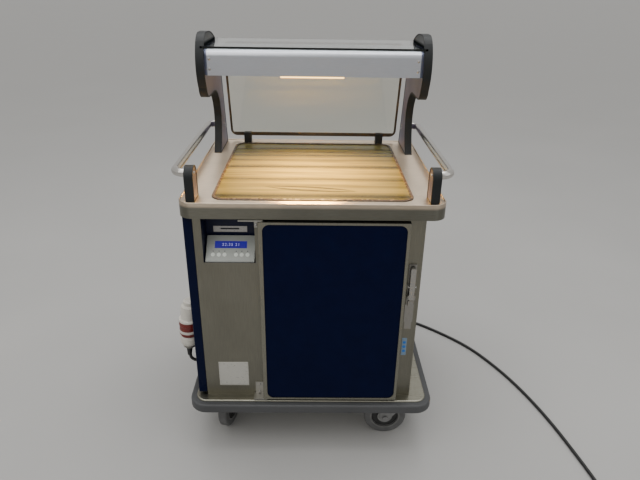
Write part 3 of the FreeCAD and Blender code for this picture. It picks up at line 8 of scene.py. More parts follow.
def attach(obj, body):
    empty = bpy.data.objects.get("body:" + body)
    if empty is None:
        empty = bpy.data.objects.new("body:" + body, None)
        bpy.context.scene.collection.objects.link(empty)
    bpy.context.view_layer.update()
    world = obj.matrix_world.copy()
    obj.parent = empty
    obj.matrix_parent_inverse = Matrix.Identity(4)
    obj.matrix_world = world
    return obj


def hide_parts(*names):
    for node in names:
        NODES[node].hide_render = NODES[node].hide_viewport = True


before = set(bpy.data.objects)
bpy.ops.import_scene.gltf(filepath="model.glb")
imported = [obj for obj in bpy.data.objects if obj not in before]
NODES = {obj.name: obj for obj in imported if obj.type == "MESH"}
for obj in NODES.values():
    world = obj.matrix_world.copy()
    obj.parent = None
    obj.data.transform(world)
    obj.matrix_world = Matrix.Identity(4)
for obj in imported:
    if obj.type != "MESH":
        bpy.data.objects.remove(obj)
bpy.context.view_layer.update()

bl_info = {
    "name": "Hostess trolley",
    "version": (1, 0, 0),
    "blender": (4, 5, 0),
    "location": "View3D > Sidebar > Trolley",
    "description": "Dresses a heated serving trolley: finishes, control panel, lead and stage",
    "category": "Add Mesh",
}

# The CAD source counts depths back from the worktop's front edge and X from its middle.
SHIFT_X = 31.24
FRONT_Y = -352.5


def at(x, depth, z):
    """Point in metres from the drawing's X, depth behind the worktop's edge and height."""
    return Vector(((x + SHIFT_X) / 1000, (depth + FRONT_Y) / 1000, z / 1000))


def colour_prop(name, text, value):
    return FloatVectorProperty(name=name, description=text, default=value, size=3, min=0.0,
                               max=1.0, subtype="COLOR")


def size_prop(name, text, value):
    return FloatProperty(name=name, description=text, default=value, min=0.0, unit="LENGTH")


# ---------------------------------------------------------------- what a user may change
class TrolleyFinishes(bpy.types.PropertyGroup):
    """Colours of the trolley's finishes."""
    # The steel is darker than the real sheet: painted shade on the upright cupboard steel, of
    # which the deck and door take lighter copies.
    steel: colour_prop("Steel", "Brushed steel of the cupboard and deck", (0.215, 0.208, 0.172))
    # Worktop steel tinted warm: painted light, the heat lamps' glow mixed into the steel's own
    # colour.
    lamp_warmed_top_steel: colour_prop("Worktop steel", "Brushed steel of the worktop",
                           (0.57, 0.475, 0.37))
    navy: colour_prop("Navy", "Enamel of the door and the side panel", (0.0012, 0.0038, 0.024))
    cheek: colour_prop("Cheeks", "Paint of the glass guard's cheeks", (0.112, 0.094, 0.158))
    rubber: colour_prop("Edge rubber", "Rubber edges and clamps", (0.009, 0.011, 0.012))
    bumper: colour_prop("Bumper", "Rubber of the bumper", (0.062, 0.064, 0.067))
    aluminium: colour_prop("Bridge", "Satin aluminium of the heat bridge", (0.64, 0.66, 0.71))
    plate_light: colour_prop("Plate light", "Pale grain of the serving plate",
                             (0.225, 0.200, 0.072))
    plate_dark: colour_prop("Plate dark", "Dark grain of the serving plate",
                            (0.036, 0.034, 0.016))
    fascia: colour_prop("Fascia", "Front of the control panel", (0.42, 0.44, 0.41))
    screen: colour_prop("Display", "Lit display of the control panel", (0.020, 0.012, 0.20))
    lamp: colour_prop("Lamps", "Glow of the heat lamps", (1.0, 0.56, 0.13))
    plug_white: colour_prop("Plug body", "White plastic of the mains fittings",
                            (0.72, 0.69, 0.62))
    plug_red: colour_prop("Plug collar", "Red plastic of the mains fittings",
                          (0.17, 0.012, 0.008))
    lead: colour_prop("Lead", "Sheath of the mains lead", (0.012, 0.012, 0.013))
    floor: colour_prop("Floor", "Pale floor under the trolley", (0.40, 0.395, 0.385))


class TrolleySizes(bpy.types.PropertyGroup):
    """Sizes of the pieces that the looks add to the solids."""
    lead_radius: size_prop("Lead radius", "Half the thickness of the mains lead", 0.006)
    boot_length: size_prop("Boot length", "Tapered boot at the ends of the lead", 0.038)
    mark_radius: size_prop("Lamp radius", "Indicator lamps of the control panel", 0.0016)
    digit_height: size_prop("Digit height", "Numbers of the display", 0.0125)
    reading: StringProperty(name="Reading", description="Numbers that the display shows",
                            default="22:35 21")


# ---------------------------------------------------------------- finishes
def start_material(name):
    """New material with its shader, and Object coordinates to hang a pattern on."""
    material = bpy.data.materials.new(name)
    material.use_nodes = True
    tree = material.node_tree
    shader = tree.nodes["Principled BSDF"]
    place = tree.nodes.new("ShaderNodeTexCoord")
    return material, tree, shader, place.outputs["Object"]


def streaks(tree, coordinates, scale, stretch, detail=4.0):
    """Noise whose grain is drawn out along one axis."""
    mapping = tree.nodes.new("ShaderNodeMapping")
    mapping.inputs["Scale"].default_value = stretch
    noise = tree.nodes.new("ShaderNodeTexNoise")
    noise.inputs["Scale"].default_value = scale
    noise.inputs["Detail"].default_value = detail
    tree.links.new(coordinates, mapping.inputs["Vector"])
    tree.links.new(mapping.outputs["Vector"], noise.inputs["Vector"])
    return noise.outputs["Fac"]


def ranged(tree, value, low, high, start=0.3, end=0.7):
    """Value spread over a range of numbers."""
    node = tree.nodes.new("ShaderNodeMapRange")
    node.inputs["From Min"].default_value = start
    node.inputs["From Max"].default_value = end
    node.inputs["To Min"].default_value = low
    node.inputs["To Max"].default_value = high
    tree.links.new(value, node.inputs["Value"])
    return node.outputs["Result"]


def blended(tree, factor, first, second):
    """Colour between two, each given as a colour or as a socket."""
    mix = tree.nodes.new("ShaderNodeMix")
    mix.data_type = "RGBA"
    tree.links.new(factor, mix.inputs["Factor"])
    for name, colour in (("A", first), ("B", second)):
        socket = [s for s in mix.inputs if s.name == name and s.type == "RGBA"][0]
        if isinstance(colour, bpy.types.NodeSocket):
            tree.links.new(colour, socket)
        else:
            socket.default_value = (*tuple(colour)[:3], 1.0)
    return [s for s in mix.outputs if s.type == "RGBA"][0]


def bumped(tree, shader, height, strength, distance=0.001):
    bump = tree.nodes.new("ShaderNodeBump")
    bump.inputs["Strength"].default_value = strength
    bump.inputs["Distance"].default_value = distance
    tree.links.new(height, bump.inputs["Height"])
    tree.links.new(bump.outputs["Normal"], shader.inputs["Normal"])


def shade(colour, factor):
    return tuple(min(1.0, channel * factor) for channel in tuple(colour)[:3])


def calc(tree, operation, first, second=0.0):
    """Result of a sum on two values, each a number or a socket."""
    node = tree.nodes.new("ShaderNodeMath")
    node.operation = operation
    for socket, value in zip(node.inputs, (first, second)):
        if isinstance(value, bpy.types.NodeSocket):
            tree.links.new(value, socket)
        else:
            socket.default_value = value
    return node.outputs["Value"]


def near(tree, value, middle, half):
    """1 where the value is the middle, falling to 0 at half a width from it."""
    away = calc(tree, "ABSOLUTE", calc(tree, "SUBTRACT", value, middle))
    return ranged(tree, away, 1, 0, 0.0, half)


def axes(tree, place):
    split = tree.nodes.new("ShaderNodeSeparateXYZ")
    tree.links.new(place, split.inputs["Vector"])
    return split.outputs["X"], split.outputs["Y"], split.outputs["Z"]


def finish(name, colour, metallic=0.0, roughness=0.4, scale=60.0, stretch=(1, 1, 1),
           contrast=0.12, wear=0.10, spread=0.10, bump=0.05, coat=0.0, specular=0.5):
    """Finish with fine grain, cloudy wear and a roughness that follows the grain."""
    material, tree, shader, place = start_material(name)
    fine = streaks(tree, place, scale, stretch)
    cloudy = streaks(tree, place, 5.0, (1, 1, 1), 6.0)
    grain = blended(tree, ranged(tree, fine, 0, 1), shade(colour, 1 - contrast),
                    shade(colour, 1 + contrast))
    worn = blended(tree, ranged(tree, cloudy, 0, wear * 2, 0.45, 0.75), grain,
                   shade(colour, 0.55))
    tree.links.new(worn, shader.inputs["Base Color"])
    tree.links.new(ranged(tree, fine, max(0.02, roughness - spread), roughness + spread),
                   shader.inputs["Roughness"])
    shader.inputs["Metallic"].default_value = metallic
    shader.inputs["Coat Weight"].default_value = coat
    shader.inputs["Specular IOR Level"].default_value = specular
    if bump:
        bumped(tree, shader, fine, bump, 0.0006)
    return material


def rounded_rim(tree, along, up, middle, half, radius, band):
    """1 within a band of the edge of a rounded rectangle that lies on two sockets."""
    corner = []
    for value, centre, reach in zip((along, up), middle, half):
        away = calc(tree, "ABSOLUTE", calc(tree, "SUBTRACT", value, centre))
        over = calc(tree, "MAXIMUM", calc(tree, "SUBTRACT", away, reach - radius), 0.0)
        corner.append(calc(tree, "MULTIPLY", over, over))
    distance = calc(tree, "SQRT", calc(tree, "ADD", *corner))
    return ranged(tree, distance, 0, 1, radius - band - 0.0003, radius - band)


def glass_finish(name, tint, rim, middle, half, radius, band, flat, foot=0.0):
    """Clear glass with faint wiping marks and a dark rim.

    The pane is a rounded rectangle in X and, if it lies flat, Y, or otherwise Z, and the
    rim is wider at its foot.
    """
    material, tree, shader, place = start_material(name)
    smears = streaks(tree, place, 7.0, (1, 1, 0.3), 5.0)
    across, depth, height = axes(tree, place)
    edge = rounded_rim(tree, across, depth if flat else height, middle, half, radius, band)
    if foot:
        low = middle[1] - half[1] + foot
        edge = calc(tree, "MAXIMUM", edge, ranged(tree, height, 1, 0, low - 0.001, low))
    tree.links.new(ranged(tree, smears, 0.01, 0.05, 0.5, 0.8), shader.inputs["Roughness"])
    tree.links.new(blended(tree, edge, tint, rim), shader.inputs["Base Color"])
    tree.links.new(calc(tree, "SUBTRACT", 1.0, edge), shader.inputs["Transmission Weight"])
    shader.inputs["IOR"].default_value = 1.46
    material.use_transparent_shadow = True
    return material


def brush_across(material):
    """Draw reflections out across the grain, as steel brushed from side to side does."""
    tree = material.node_tree
    shader = tree.nodes["Principled BSDF"]
    along = tree.nodes.new("ShaderNodeCombineXYZ")
    along.inputs["Y"].default_value = 1.0
    along.inputs["Z"].default_value = 1.0
    tree.links.new(along.outputs["Vector"], shader.inputs["Tangent"])
    shader.inputs["Anisotropic"].default_value = 0.9


def paint(material, *names):
    """Give CAD nodes a finish."""
    for name in names:
        NODES[name].material_slots[0].material = material


# ---------------------------------------------------------------- modelling by hand
def deselect():
    if bpy.context.mode != "OBJECT":
        bpy.ops.object.mode_set(mode="OBJECT")
    bpy.ops.object.select_all(action="DESELECT")


def settle(piece, name, material, body):
    """Bake a piece's place into its mesh, finish it and let it ride on a CAD body."""
    deselect()
    piece.select_set(True)
    bpy.context.view_layer.objects.active = piece
    bpy.ops.object.transform_apply(location=True, rotation=True, scale=True)
    piece.name = name
    piece.data.materials.clear()
    piece.data.materials.append(material)
    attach(piece, body)
    return piece


def apply_modifier(piece, kind, **values):
    modifier = piece.modifiers.new(kind.title(), kind)
    for key, value in values.items():
        setattr(modifier, key, value)
    bpy.context.view_layer.objects.active = piece
    bpy.ops.object.modifier_apply(modifier=modifier.name)


def plate(centre, size, bevel, segments=3, turn=(0, 0, 0)):
    """Thin plate with rounded edges."""
    deselect()
    bpy.ops.mesh.primitive_cube_add(size=1, location=centre, rotation=turn)
    piece = bpy.context.active_object
    piece.scale = size
    bpy.ops.object.transform_apply(location=False, rotation=False, scale=True)
    apply_modifier(piece, "BEVEL", width=bevel, segments=segments, limit_method="ANGLE")
    return piece


def select_faces(piece, test):
    """Select the faces whose centre and normal pass a test, in edit mode."""
    bpy.ops.object.mode_set(mode="EDIT")
    bpy.ops.mesh.select_all(action="DESELECT")
    bpy.ops.object.mode_set(mode="OBJECT")
    for face in piece.data.polygons:
        face.select = test(face.center, face.normal)
    bpy.ops.object.mode_set(mode="EDIT")
    bpy.ops.mesh.select_mode(type="FACE")


def turned(profile, origin, direction, segments=48):
    """Round piece from (radius, height) points, made with the spin tool."""
    deselect()
    bpy.ops.mesh.primitive_plane_add(size=1)
    piece = bpy.context.active_object
    bpy.ops.object.mode_set(mode="EDIT")
    bpy.ops.mesh.select_all(action="SELECT")
    bpy.ops.mesh.delete(type="VERT")
    bpy.ops.object.mode_set(mode="OBJECT")
    piece.data.vertices.add(len(profile))
    piece.data.edges.add(len(profile) - 1)
    for vertex, (radius, height) in zip(piece.data.vertices, profile):
        vertex.co = (radius, 0, height)
    for i, edge in enumerate(piece.data.edges):
        edge.vertices = (i, i + 1)
    piece.data.update()
    bpy.ops.object.mode_set(mode="EDIT")
    bpy.ops.mesh.select_all(action="SELECT")
    bpy.ops.mesh.spin(steps=segments, angle=2 * math.pi, center=(0, 0, 0), axis=(0, 0, 1))
    bpy.ops.mesh.select_all(action="SELECT")
    bpy.ops.mesh.remove_doubles(threshold=0.00001)
    bpy.ops.mesh.normals_make_consistent(inside=False)
    bpy.ops.object.mode_set(mode="OBJECT")
    bpy.ops.object.shade_smooth_by_angle(angle=math.radians(35))
    turn = Vector((0, 0, 1)).rotation_difference(Vector(direction).normalized())
    piece.rotation_mode = "QUATERNION"
    piece.rotation_quaternion = turn
    piece.location = origin
    return piece


# ---------------------------------------------------------------- camera, light and floor
CAMERA_TURNS = (25.205, 0.876, 0.878)   # pitch down, yaw and roll, in degrees
CAMERA_PLACE = (-0.75, -1466.6, 1500.9)
CAMERA_LENS = 31.07
LAMP_PLACE = (-15, 360, 1222)
LAMP_TARGET = (-15, 190, 900)


class TROLLEY_OT_stage(bpy.types.Operator):
    """Set up the camera, the lights and the floor"""
    bl_idname = "trolley.stage"
    bl_label = "Stage"

    def execute(self, context):
        looks = context.scene.trolley_finishes
        pitch, yaw, roll = (math.radians(turn) for turn in CAMERA_TURNS)
        ahead = Vector((math.sin(yaw) * math.cos(pitch), math.cos(yaw) * math.cos(pitch),
                        -math.sin(pitch)))
        level = Vector((math.cos(yaw), -math.sin(yaw), 0))
        rise = level.cross(ahead)
        right = math.cos(roll) * level + math.sin(roll) * rise
        up = -math.sin(roll) * level + math.cos(roll) * rise
        bpy.ops.object.camera_add()
        camera = context.active_object
        camera.data.lens = CAMERA_LENS
        camera.data.sensor_width = 36.0
        camera.matrix_world = Matrix.Translation(at(*CAMERA_PLACE)) @ Matrix(
            (right, up, -ahead)).transposed().to_4x4()
        context.scene.camera = camera
        self.add_light("key", (-1.6, -2.6, 3.4), (0.1, 0.0, 0.6), 3.2, 40, (1.0, 0.985, 0.96))
        self.add_light("fill", (2.6, -1.6, 2.4), (0.0, 0.0, 0.6), 2.6, 13, (0.96, 0.98, 1.0))
        self.add_light("top", (0.0, 0.6, 3.6), (0.0, 0.1, 0.0), 3.0, 56, (1.0, 1.0, 1.0))
        bpy.ops.object.light_add(type="SUN", location=(0, 0, 4))
        over = context.active_object
        over.name = "overhead"
        over.data.energy = 0.9
        over.data.angle = math.radians(75)
        lamp = self.add_light("heat", at(*LAMP_PLACE), at(*LAMP_TARGET), 0.20, 13.0, looks.lamp)
        lamp.data.size_y = 0.06
        lamp.data.spread = math.radians(130)
        world = context.scene.world or bpy.data.worlds.new("World")
        context.scene.world = world
        world.use_nodes = True
        sky = world.node_tree.nodes["Background"]
        sky.inputs["Color"].default_value = (0.60, 0.595, 0.58, 1)
        sky.inputs["Strength"].default_value = 0.96
        deselect()
        bpy.ops.mesh.primitive_plane_add(size=160, location=(0, 0, 0))
        floor = context.active_object
        floor.name = "floor"
        floor.data.materials.append(finish("floor", looks.floor, roughness=0.55, scale=1.3,
                                           contrast=0.03, wear=0.0, spread=0.05, bump=0))
        return {"FINISHED"}

    def add_light(self, name, place, target, size, power, colour):
        bpy.ops.object.light_add(type="AREA", location=place)
        light = bpy.context.active_object
        light.name = name
        light.data.shape = "RECTANGLE"
        light.data.size = size
        light.data.size_y = size
        light.data.energy = power
        light.data.color = tuple(colour)[:3]
        light.rotation_euler = (Vector(target) - Vector(place)).to_track_quat(
            "-Z", "Y").to_euler()
        return light


# ---------------------------------------------------------------- mains lead
LEAD_ROUTE = (
    (-448.12, 200, 251.71), (-446.5, 212, 221), (-437, 238, 192), (-431, 278, 160),
    (-430, 326, 130), (-431, 382, 98), (-433, 444, 66), (-436, 510, 38), (-438, 578, 17),
    (-436, 646, 6), (-424, 716, 6), (-385, 792, 6), (-310, 852, 6), (-205, 885, 6),
    (-75, 898, 6), (75, 896, 6), (225, 884, 6), (370, 850, 6), (505, 778, 6), (610, 690, 6),
    (712, 585, 6), (795, 440, 6), (858, 285, 6), (905, 110, 6), (932, -45, 6),
    (948, -150, 6), (955, -225, 6),
)
LEAD_EXIT = (-445.46, 200, 285.61)
EXIT_HEADING = (-math.sin(math.radians(4.5)), 0, -math.cos(math.radians(4.5)))
COIL_X = 867.0
COIL_DEPTH = -292.0
COIL_TURNS = 4.0
COIL_INNER = 62.0
COIL_PITCH = 13.0
PLUG_PLACE = (831.0, -420.0, 34.0)


class TROLLEY_OT_lead(bpy.types.Operator):
    """Lay the mains lead round the trolley, with its coil and its boots"""
    bl_idname = "trolley.lead"
    bl_label = "Mains lead"

    def execute(self, context):
        looks = context.scene.trolley_finishes
        sizes = context.scene.trolley_sizes
        sheath = finish("lead_sheath", looks.lead, roughness=0.42, scale=350.0, contrast=0.2,
                        bump=0.12)
        points = [LEAD_EXIT, *LEAD_ROUTE]
        steps = 16
        for i in range(int(COIL_TURNS * steps) + 1):
            points.append(self.coil_point(i / steps))
        points += [(955, -335, 20), (938, -382, 23), (897, -414, 29), (860, -420, 34),
                   (843, -420, 34), PLUG_PLACE]
        bpy.ops.curve.primitive_nurbs_path_add()
        lead = context.active_object
        lead.data.splines.clear()
        spline = lead.data.splines.new("NURBS")
        spline.points.add(len(points) - 1)
        for point, place in zip(spline.points, points):
            point.co = (*at(*place), 1)
        spline.order_u = 3
        spline.use_endpoint_u = True
        lead.location = (0, 0, 0)
        lead.data.resolution_u = 8
        lead.data.bevel_depth = sizes.lead_radius
        lead.data.bevel_resolution = 5
        lead.data.use_fill_caps = True
        lead.name = "mains_lead"
        lead.data.materials.append(sheath)
        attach(lead, "trolley")
        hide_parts("power_cord", "cord_coil")
        boot = self.boot("connector_boot", LEAD_EXIT, EXIT_HEADING, sheath, sizes)
        far_boot = self.boot("plug_boot", PLUG_PLACE, (1, 0, 0), sheath, sizes)
        return {"FINISHED"}

    def coil_point(self, turn):
        middle = COIL_TURNS / 2
        radius = (COIL_INNER + COIL_PITCH * abs(turn - middle)) * 1.012
        climb = min(1.0, max(0.0, (turn - middle) / 0.5 + 0.5))
        climb = (1 - math.cos(math.pi * climb)) / 2
        angle = -2 * math.pi * turn
        return (COIL_X + radius * math.cos(angle), COIL_DEPTH + radius * math.sin(angle),
                6 + COIL_PITCH * climb)

    def boot(self, name, place, heading, sheath, sizes):
        """Tapered, ribbed sleeve round the lead."""
        length = sizes.boot_length
        inner = sizes.lead_radius + 0.0002
        profile = [(inner, 0.0), (inner + 0.006, 0.0)]
        ribs = 6
        for rib in range(ribs):
            start = length * rib / ribs
            out = inner + 0.0055 - 0.0042 * rib / ribs
            profile += [(out, start + 0.0012), (out, start + length / ribs * 0.6),
                        (out - 0.001, start + length / ribs * 0.7),
                        (out - 0.001, start + length / ribs * 0.98)]
        profile += [(inner + 0.0008, length), (inner, length), (inner, 0.0)]
        piece = turned(profile, at(*place), heading)
        return settle(piece, name, sheath, "trolley")


# ---------------------------------------------------------------- worktop
# Heights in metres over which the apron's painted shade gives way to the top's steel colour.
APRON_SHADE_FADE = (0.906, 0.914)

# Joints of the plate's planks: depth and half width in millimetres, and strength.
PLANK_JOINTS = (
    (575, 22, 0.6), (530, 22, 0.6), (490, 18, 0.85), (430, 24, 0.35), (357, 26, 1.0),
    (290, 26, 0.35), (226, 32, 0.75), (163, 24, 0.45), (73, 34, 1.0),
)


class TROLLEY_OT_worktop(bpy.types.Operator):
    """Finish the worktop, its bead and the heated serving plate"""
    bl_idname = "trolley.worktop"
    bl_label = "Worktop"

    def execute(self, context):
        looks = context.scene.trolley_finishes
        # The worktop's warm tint is painted lamplight.
        steel = finish("worktop_steel", looks.lamp_warmed_top_steel, metallic=1.0, roughness=0.40,
                       scale=30.0, stretch=(1.0, 14.0, 14.0), contrast=0.10, wear=0.18,
                       spread=0.05, bump=0.02)
        brush_across(steel)
        # Painted shade darkens the apron below the top.
        self.shade_apron(steel)
        paint(steel, "worktop")
        paint(finish("plate_seal", (0.085, 0.060, 0.038), roughness=0.24, scale=90, bump=0,
                     contrast=0.2), "plate_bead")
        paint(finish("heater_mat", (0.30, 0.30, 0.30), metallic=0.8, roughness=0.5),
              "plate_heater")
        paint(self.wood(looks), "serving_plate")
        return {"FINISHED"}

    def shade_apron(self, steel):
        """Painted shade on the apron: its steel colour is multiplied darker and browner than the
        top's, though both are one sheet.
        """
        tree = steel.node_tree
        shader = tree.nodes["Principled BSDF"]
        colour = shader.inputs["Base Color"].links[0].from_socket
        height = axes(tree, tree.nodes["Texture Coordinate"].outputs["Object"])[2]
        # Colour multiplier below the fade: painted shade on the apron.
        apron_shade = blended(tree, ranged(tree, height, 0, 1, *APRON_SHADE_FADE), (0.30, 0.35, 0.375),
                         (1.0, 1.0, 1.0))
        multiply = tree.nodes.new("ShaderNodeVectorMath")
        multiply.operation = "MULTIPLY"
        tree.links.new(colour, multiply.inputs[0])
        tree.links.new(apron_shade, multiply.inputs[1])
        tree.links.new(multiply.outputs["Vector"], shader.inputs["Base Color"])

    def wood(self, looks):
        """Pale planks across the plate with darker joints, under a clear glaze."""
        material, tree, shader, place = start_material("serving_plate")
        across, depth, _ = axes(tree, place)
        warp = streaks(tree, place, 2.2, (1.0, 1.6, 1.0), 3.0)
        swayed = calc(tree, "ADD", depth, calc(tree, "MULTIPLY", warp, 0.020))
        fine = streaks(tree, place, 8.0, (0.6, 12.0, 1.0), 8.0)
        tone = blended(tree, ranged(tree, fine, 0, 1, 0.38, 0.66), looks.plate_light,
                       shade(looks.plate_light, 0.62))
        joints = None
        for behind, half, strength in PLANK_JOINTS:
            joint = near(tree, swayed, at(0, behind, 0).y + 0.010, half / 1000)
            joint = calc(tree, "MULTIPLY", joint, strength)
            joints = joint if joints is None else calc(tree, "MAXIMUM", joints, joint)
        marked = blended(tree, calc(tree, "MAXIMUM", joints, self.knot(tree, across, swayed)),
                         tone, looks.plate_dark)
        tree.links.new(marked, shader.inputs["Base Color"])
        tree.links.new(ranged(tree, warp, 0.14, 0.26), shader.inputs["Roughness"])
        shader.inputs["Specular IOR Level"].default_value = 0.3
        shader.inputs["Coat Weight"].default_value = 0.10
        shader.inputs["Coat Roughness"].default_value = 0.15
        return material

    def knot(self, tree, across, depth):
        """Outline of a long eye in the grain, near the front of the plate."""
        middle = at(-10, 135, 0)
        along = calc(tree, "DIVIDE", calc(tree, "SUBTRACT", across, middle.x), 0.150)
        slant = calc(tree, "MULTIPLY", along, -0.021)
        offset = calc(tree, "SUBTRACT", depth, calc(tree, "ADD", slant, middle.y + 0.010))
        room = calc(tree, "SUBTRACT", 1.0, calc(tree, "MULTIPLY", along, along))
        room = calc(tree, "MAXIMUM", room, 0.001)
        ratio = calc(tree, "DIVIDE", calc(tree, "ABSOLUTE", offset),
                     calc(tree, "MULTIPLY", room, 0.015))
        inside = ranged(tree, calc(tree, "ABSOLUTE", along), 1, 0, 0.9, 1.0)
        return calc(tree, "MULTIPLY", near(tree, ratio, 1.0, 0.9), inside)


# ---------------------------------------------------------------- glass guard
class TROLLEY_OT_guard(bpy.types.Operator):
    """Finish the cheeks, posts, handles and panes of the food guard"""
    bl_idname = "trolley.guard"
    bl_label = "Food guard"

    def execute(self, context):
        looks = context.scene.trolley_finishes
        paint(self.cheek_paint("cheek_paint", looks.cheek, looks.rubber),
              "left_cheek", "right_cheek")
        # The posts have the cheeks' paint; its darker copy here is painted shade.
        paint(self.cheek_paint("post_paint_shaded", shade(looks.cheek, 0.62), looks.rubber),
              "front_posts")
        paint(finish("edge_rubber", looks.rubber, roughness=0.5, scale=300.0, contrast=0.25,
                     bump=0.06, specular=0.35), "edge_trims")
        paint(finish("handle_steel", (0.58, 0.56, 0.53), metallic=1.0, roughness=0.20,
                     scale=5.0, contrast=0.02, wear=0.0, spread=0.01, bump=0),
              "side_handles")
        middle = at(0, 312 + 140, (945 + 1298.5) / 2)
        paint(glass_finish("pane_glass", (0.94, 0.97, 0.96), (0.006, 0.008, 0.007),
                           (middle.x, middle.y), (0.3495, 0.140), 0.010, 0.0012, True),
              "top_glass")
        paint(glass_finish("rear_pane_glass", (0.925, 0.930, 0.865), (0.085, 0.066, 0.048),
                           (middle.x, middle.z), (0.322, 0.1768), 0.0245, 0.0075, False,
                           0.0150),
              "rear_glass")
        paint(finish("clamp_black", looks.rubber, roughness=0.45, scale=300.0), "glass_clamps")
        return {"FINISHED"}

    def cheek_paint(self, name, colour, cap):
        """Lilac grey paint, with the black cap of the lobes over the glass and a painted shadow
        along the pane.
        """
        material, tree, shader, place = start_material(name)
        grime = streaks(tree, place, 6.0, (1, 1, 1), 6.0)
        tone = blended(tree, ranged(tree, grime, 0, 1, 0.4, 0.8), colour, shade(colour, 0.75))
        height = axes(tree, place)[2]
        over = ranged(tree, height, 0, 1, 1.3072, 1.3074)
        # Painted shadow: along the pane's top edge the paint turns matte and unreflecting,
        # standing in for the shaded slot under the lobes.
        slot_shade = near(tree, height, 1.315, 0.012)
        tree.links.new(blended(tree, over, tone, cap), shader.inputs["Base Color"])
        tree.links.new(calc(tree, "ADD", ranged(tree, grime, 0.30, 0.42),
                            calc(tree, "MULTIPLY", slot_shade, 0.6)), shader.inputs["Roughness"])
        tree.links.new(ranged(tree, slot_shade, 0.5, 0.0, 0.0, 0.6),
                       shader.inputs["Specular IOR Level"])
        return material


# ---------------------------------------------------------------- heat bridge
class TROLLEY_OT_bridge(bpy.types.Operator):
    """Finish the heat bridge, its lamps and the screws"""
    bl_idname = "trolley.bridge"
    bl_label = "Heat bridge"

    def execute(self, context):
        looks = context.scene.trolley_finishes
        paint(finish("bridge_satin", looks.aluminium, metallic=1.0, roughness=0.31,
                     scale=45.0, stretch=(1.0, 16.0, 16.0), contrast=0.03, wear=0.05,
                     spread=0.02, bump=0), "bridge_profile")
        paint(finish("bracket_satin", (0.20, 0.22, 0.31), metallic=1.0, roughness=0.34,
                     scale=80.0, bump=0), "bridge_brackets")
        paint(self.reflector(looks), "lamp_reflector")
        paint(finish("screw_steel", (0.42, 0.41, 0.40), metallic=1.0, roughness=0.28,
                     scale=400.0), "screws")
        lamp, tree, shader, place = start_material("lamp_quartz")
        coils = streaks(tree, place, 60.0, (6.0, 1.0, 1.0), 2.0)
        glow = blended(tree, ranged(tree, coils, 0, 1), looks.lamp, (1.0, 0.72, 0.42))
        tree.links.new(glow, shader.inputs["Base Color"])
        tree.links.new(glow, shader.inputs["Emission Color"])
        shader.inputs["Emission Strength"].default_value = 6.0
        shader.inputs["Roughness"].default_value = 0.2
        paint(lamp, "heat_lamps")
        return {"FINISHED"}

    def reflector(self, looks):
        """Bright reflector whose lower lip has a painted glow: an emission that stands in for the
        light of its lamps on the lip.
        """
        material, tree, shader, place = start_material("reflector")
        fine = streaks(tree, place, 30.0, (1, 1, 1))
        tree.links.new(blended(tree, ranged(tree, fine, 0, 1), (0.76, 0.74, 0.70),
                               (0.82, 0.80, 0.76)), shader.inputs["Base Color"])
        tree.links.new(ranged(tree, fine, 0.08, 0.16), shader.inputs["Roughness"])
        shader.inputs["Metallic"].default_value = 1.0
        shader.inputs["Emission Color"].default_value = (*looks.lamp, 1.0)
        # Painted glow on the lower lip, though the lip is no lamp.
        painted_lip_glow = ranged(tree, axes(tree, place)[2], 5.0, 0, 1.2265, 1.2300)
        tree.links.new(painted_lip_glow, shader.inputs["Emission Strength"])
        return material


# ---------------------------------------------------------------- cupboard
class TROLLEY_OT_cupboard(bpy.types.Operator):
    """Finish the cupboard, and add its bare rating plate"""
    bl_idname = "trolley.cupboard"
    bl_label = "Cupboard"

    def execute(self, context):
        looks = context.scene.trolley_finishes
        upright = dict(metallic=1.0, roughness=0.38, scale=26.0, stretch=(16.0, 16.0, 0.8),
                       contrast=0.10, wear=0.16, spread=0.08, bump=0.04)
        # Painted shade: this steel colour is darker than the real sheet's.
        paint(finish("cupboard_steel_shaded", looks.steel, **upright), "carcass", "column_panel")
        paint(finish("recess_enamel", shade(looks.navy, 1.3), roughness=0.4, scale=60.0,
                     specular=0.3, bump=0), "control_box")
        paint(finish("side_enamel", looks.navy, roughness=0.30, scale=30.0, contrast=0.10,
                     wear=0.10, spread=0.03, bump=0, specular=0.10), "left_side_panel")
        paint(finish("liner_steel", (0.74, 0.73, 0.71), metallic=1.0, roughness=0.42,
                     scale=30.0, stretch=(1.0, 1.0, 8.0), contrast=0.04, spread=0.04, bump=0),
              "inner_liner", "racks_and_shelves")
        paint(finish("insulation_foam", (0.62, 0.56, 0.40), roughness=0.9, scale=160.0,
                     contrast=0.2, bump=0.5), "insulation")
        paint(finish("floor_element", (0.16, 0.15, 0.14), metallic=0.8, roughness=0.5),
              "chamber_heater")
        label = plate(at(-261, 29.8, 295.5), (0.099, 0.0008, 0.097), 0.0003)
        select_faces(label, lambda centre, normal: normal.y < -0.9)
        bpy.ops.mesh.inset(thickness=0.003, depth=-0.0002)
        bpy.ops.object.mode_set(mode="OBJECT")
        settle(label, "rating_plate", finish("plate_bare", (0.50, 0.49, 0.45), metallic=0.2,
                                             roughness=0.35, scale=120.0, contrast=0.03,
                                             bump=0),
               "trolley")
        return {"FINISHED"}


# ---------------------------------------------------------------- control panel
TILT = math.radians(42.6)
KEY_XS = (-53, -35, -17.5, 17.5, 35, 53)


def on_slope(x, up, out=0.0):
    """Point on the control panel's slope, in metres, from its lower edge's middle."""
    base = at(-252, 34, 722)
    along = Vector((0, math.cos(TILT), math.sin(TILT)))
    away = Vector((0, -math.sin(TILT), math.cos(TILT)))
    return base + Vector((x / 1000, 0, 0)) + along * (up / 1000) + away * (out / 1000)


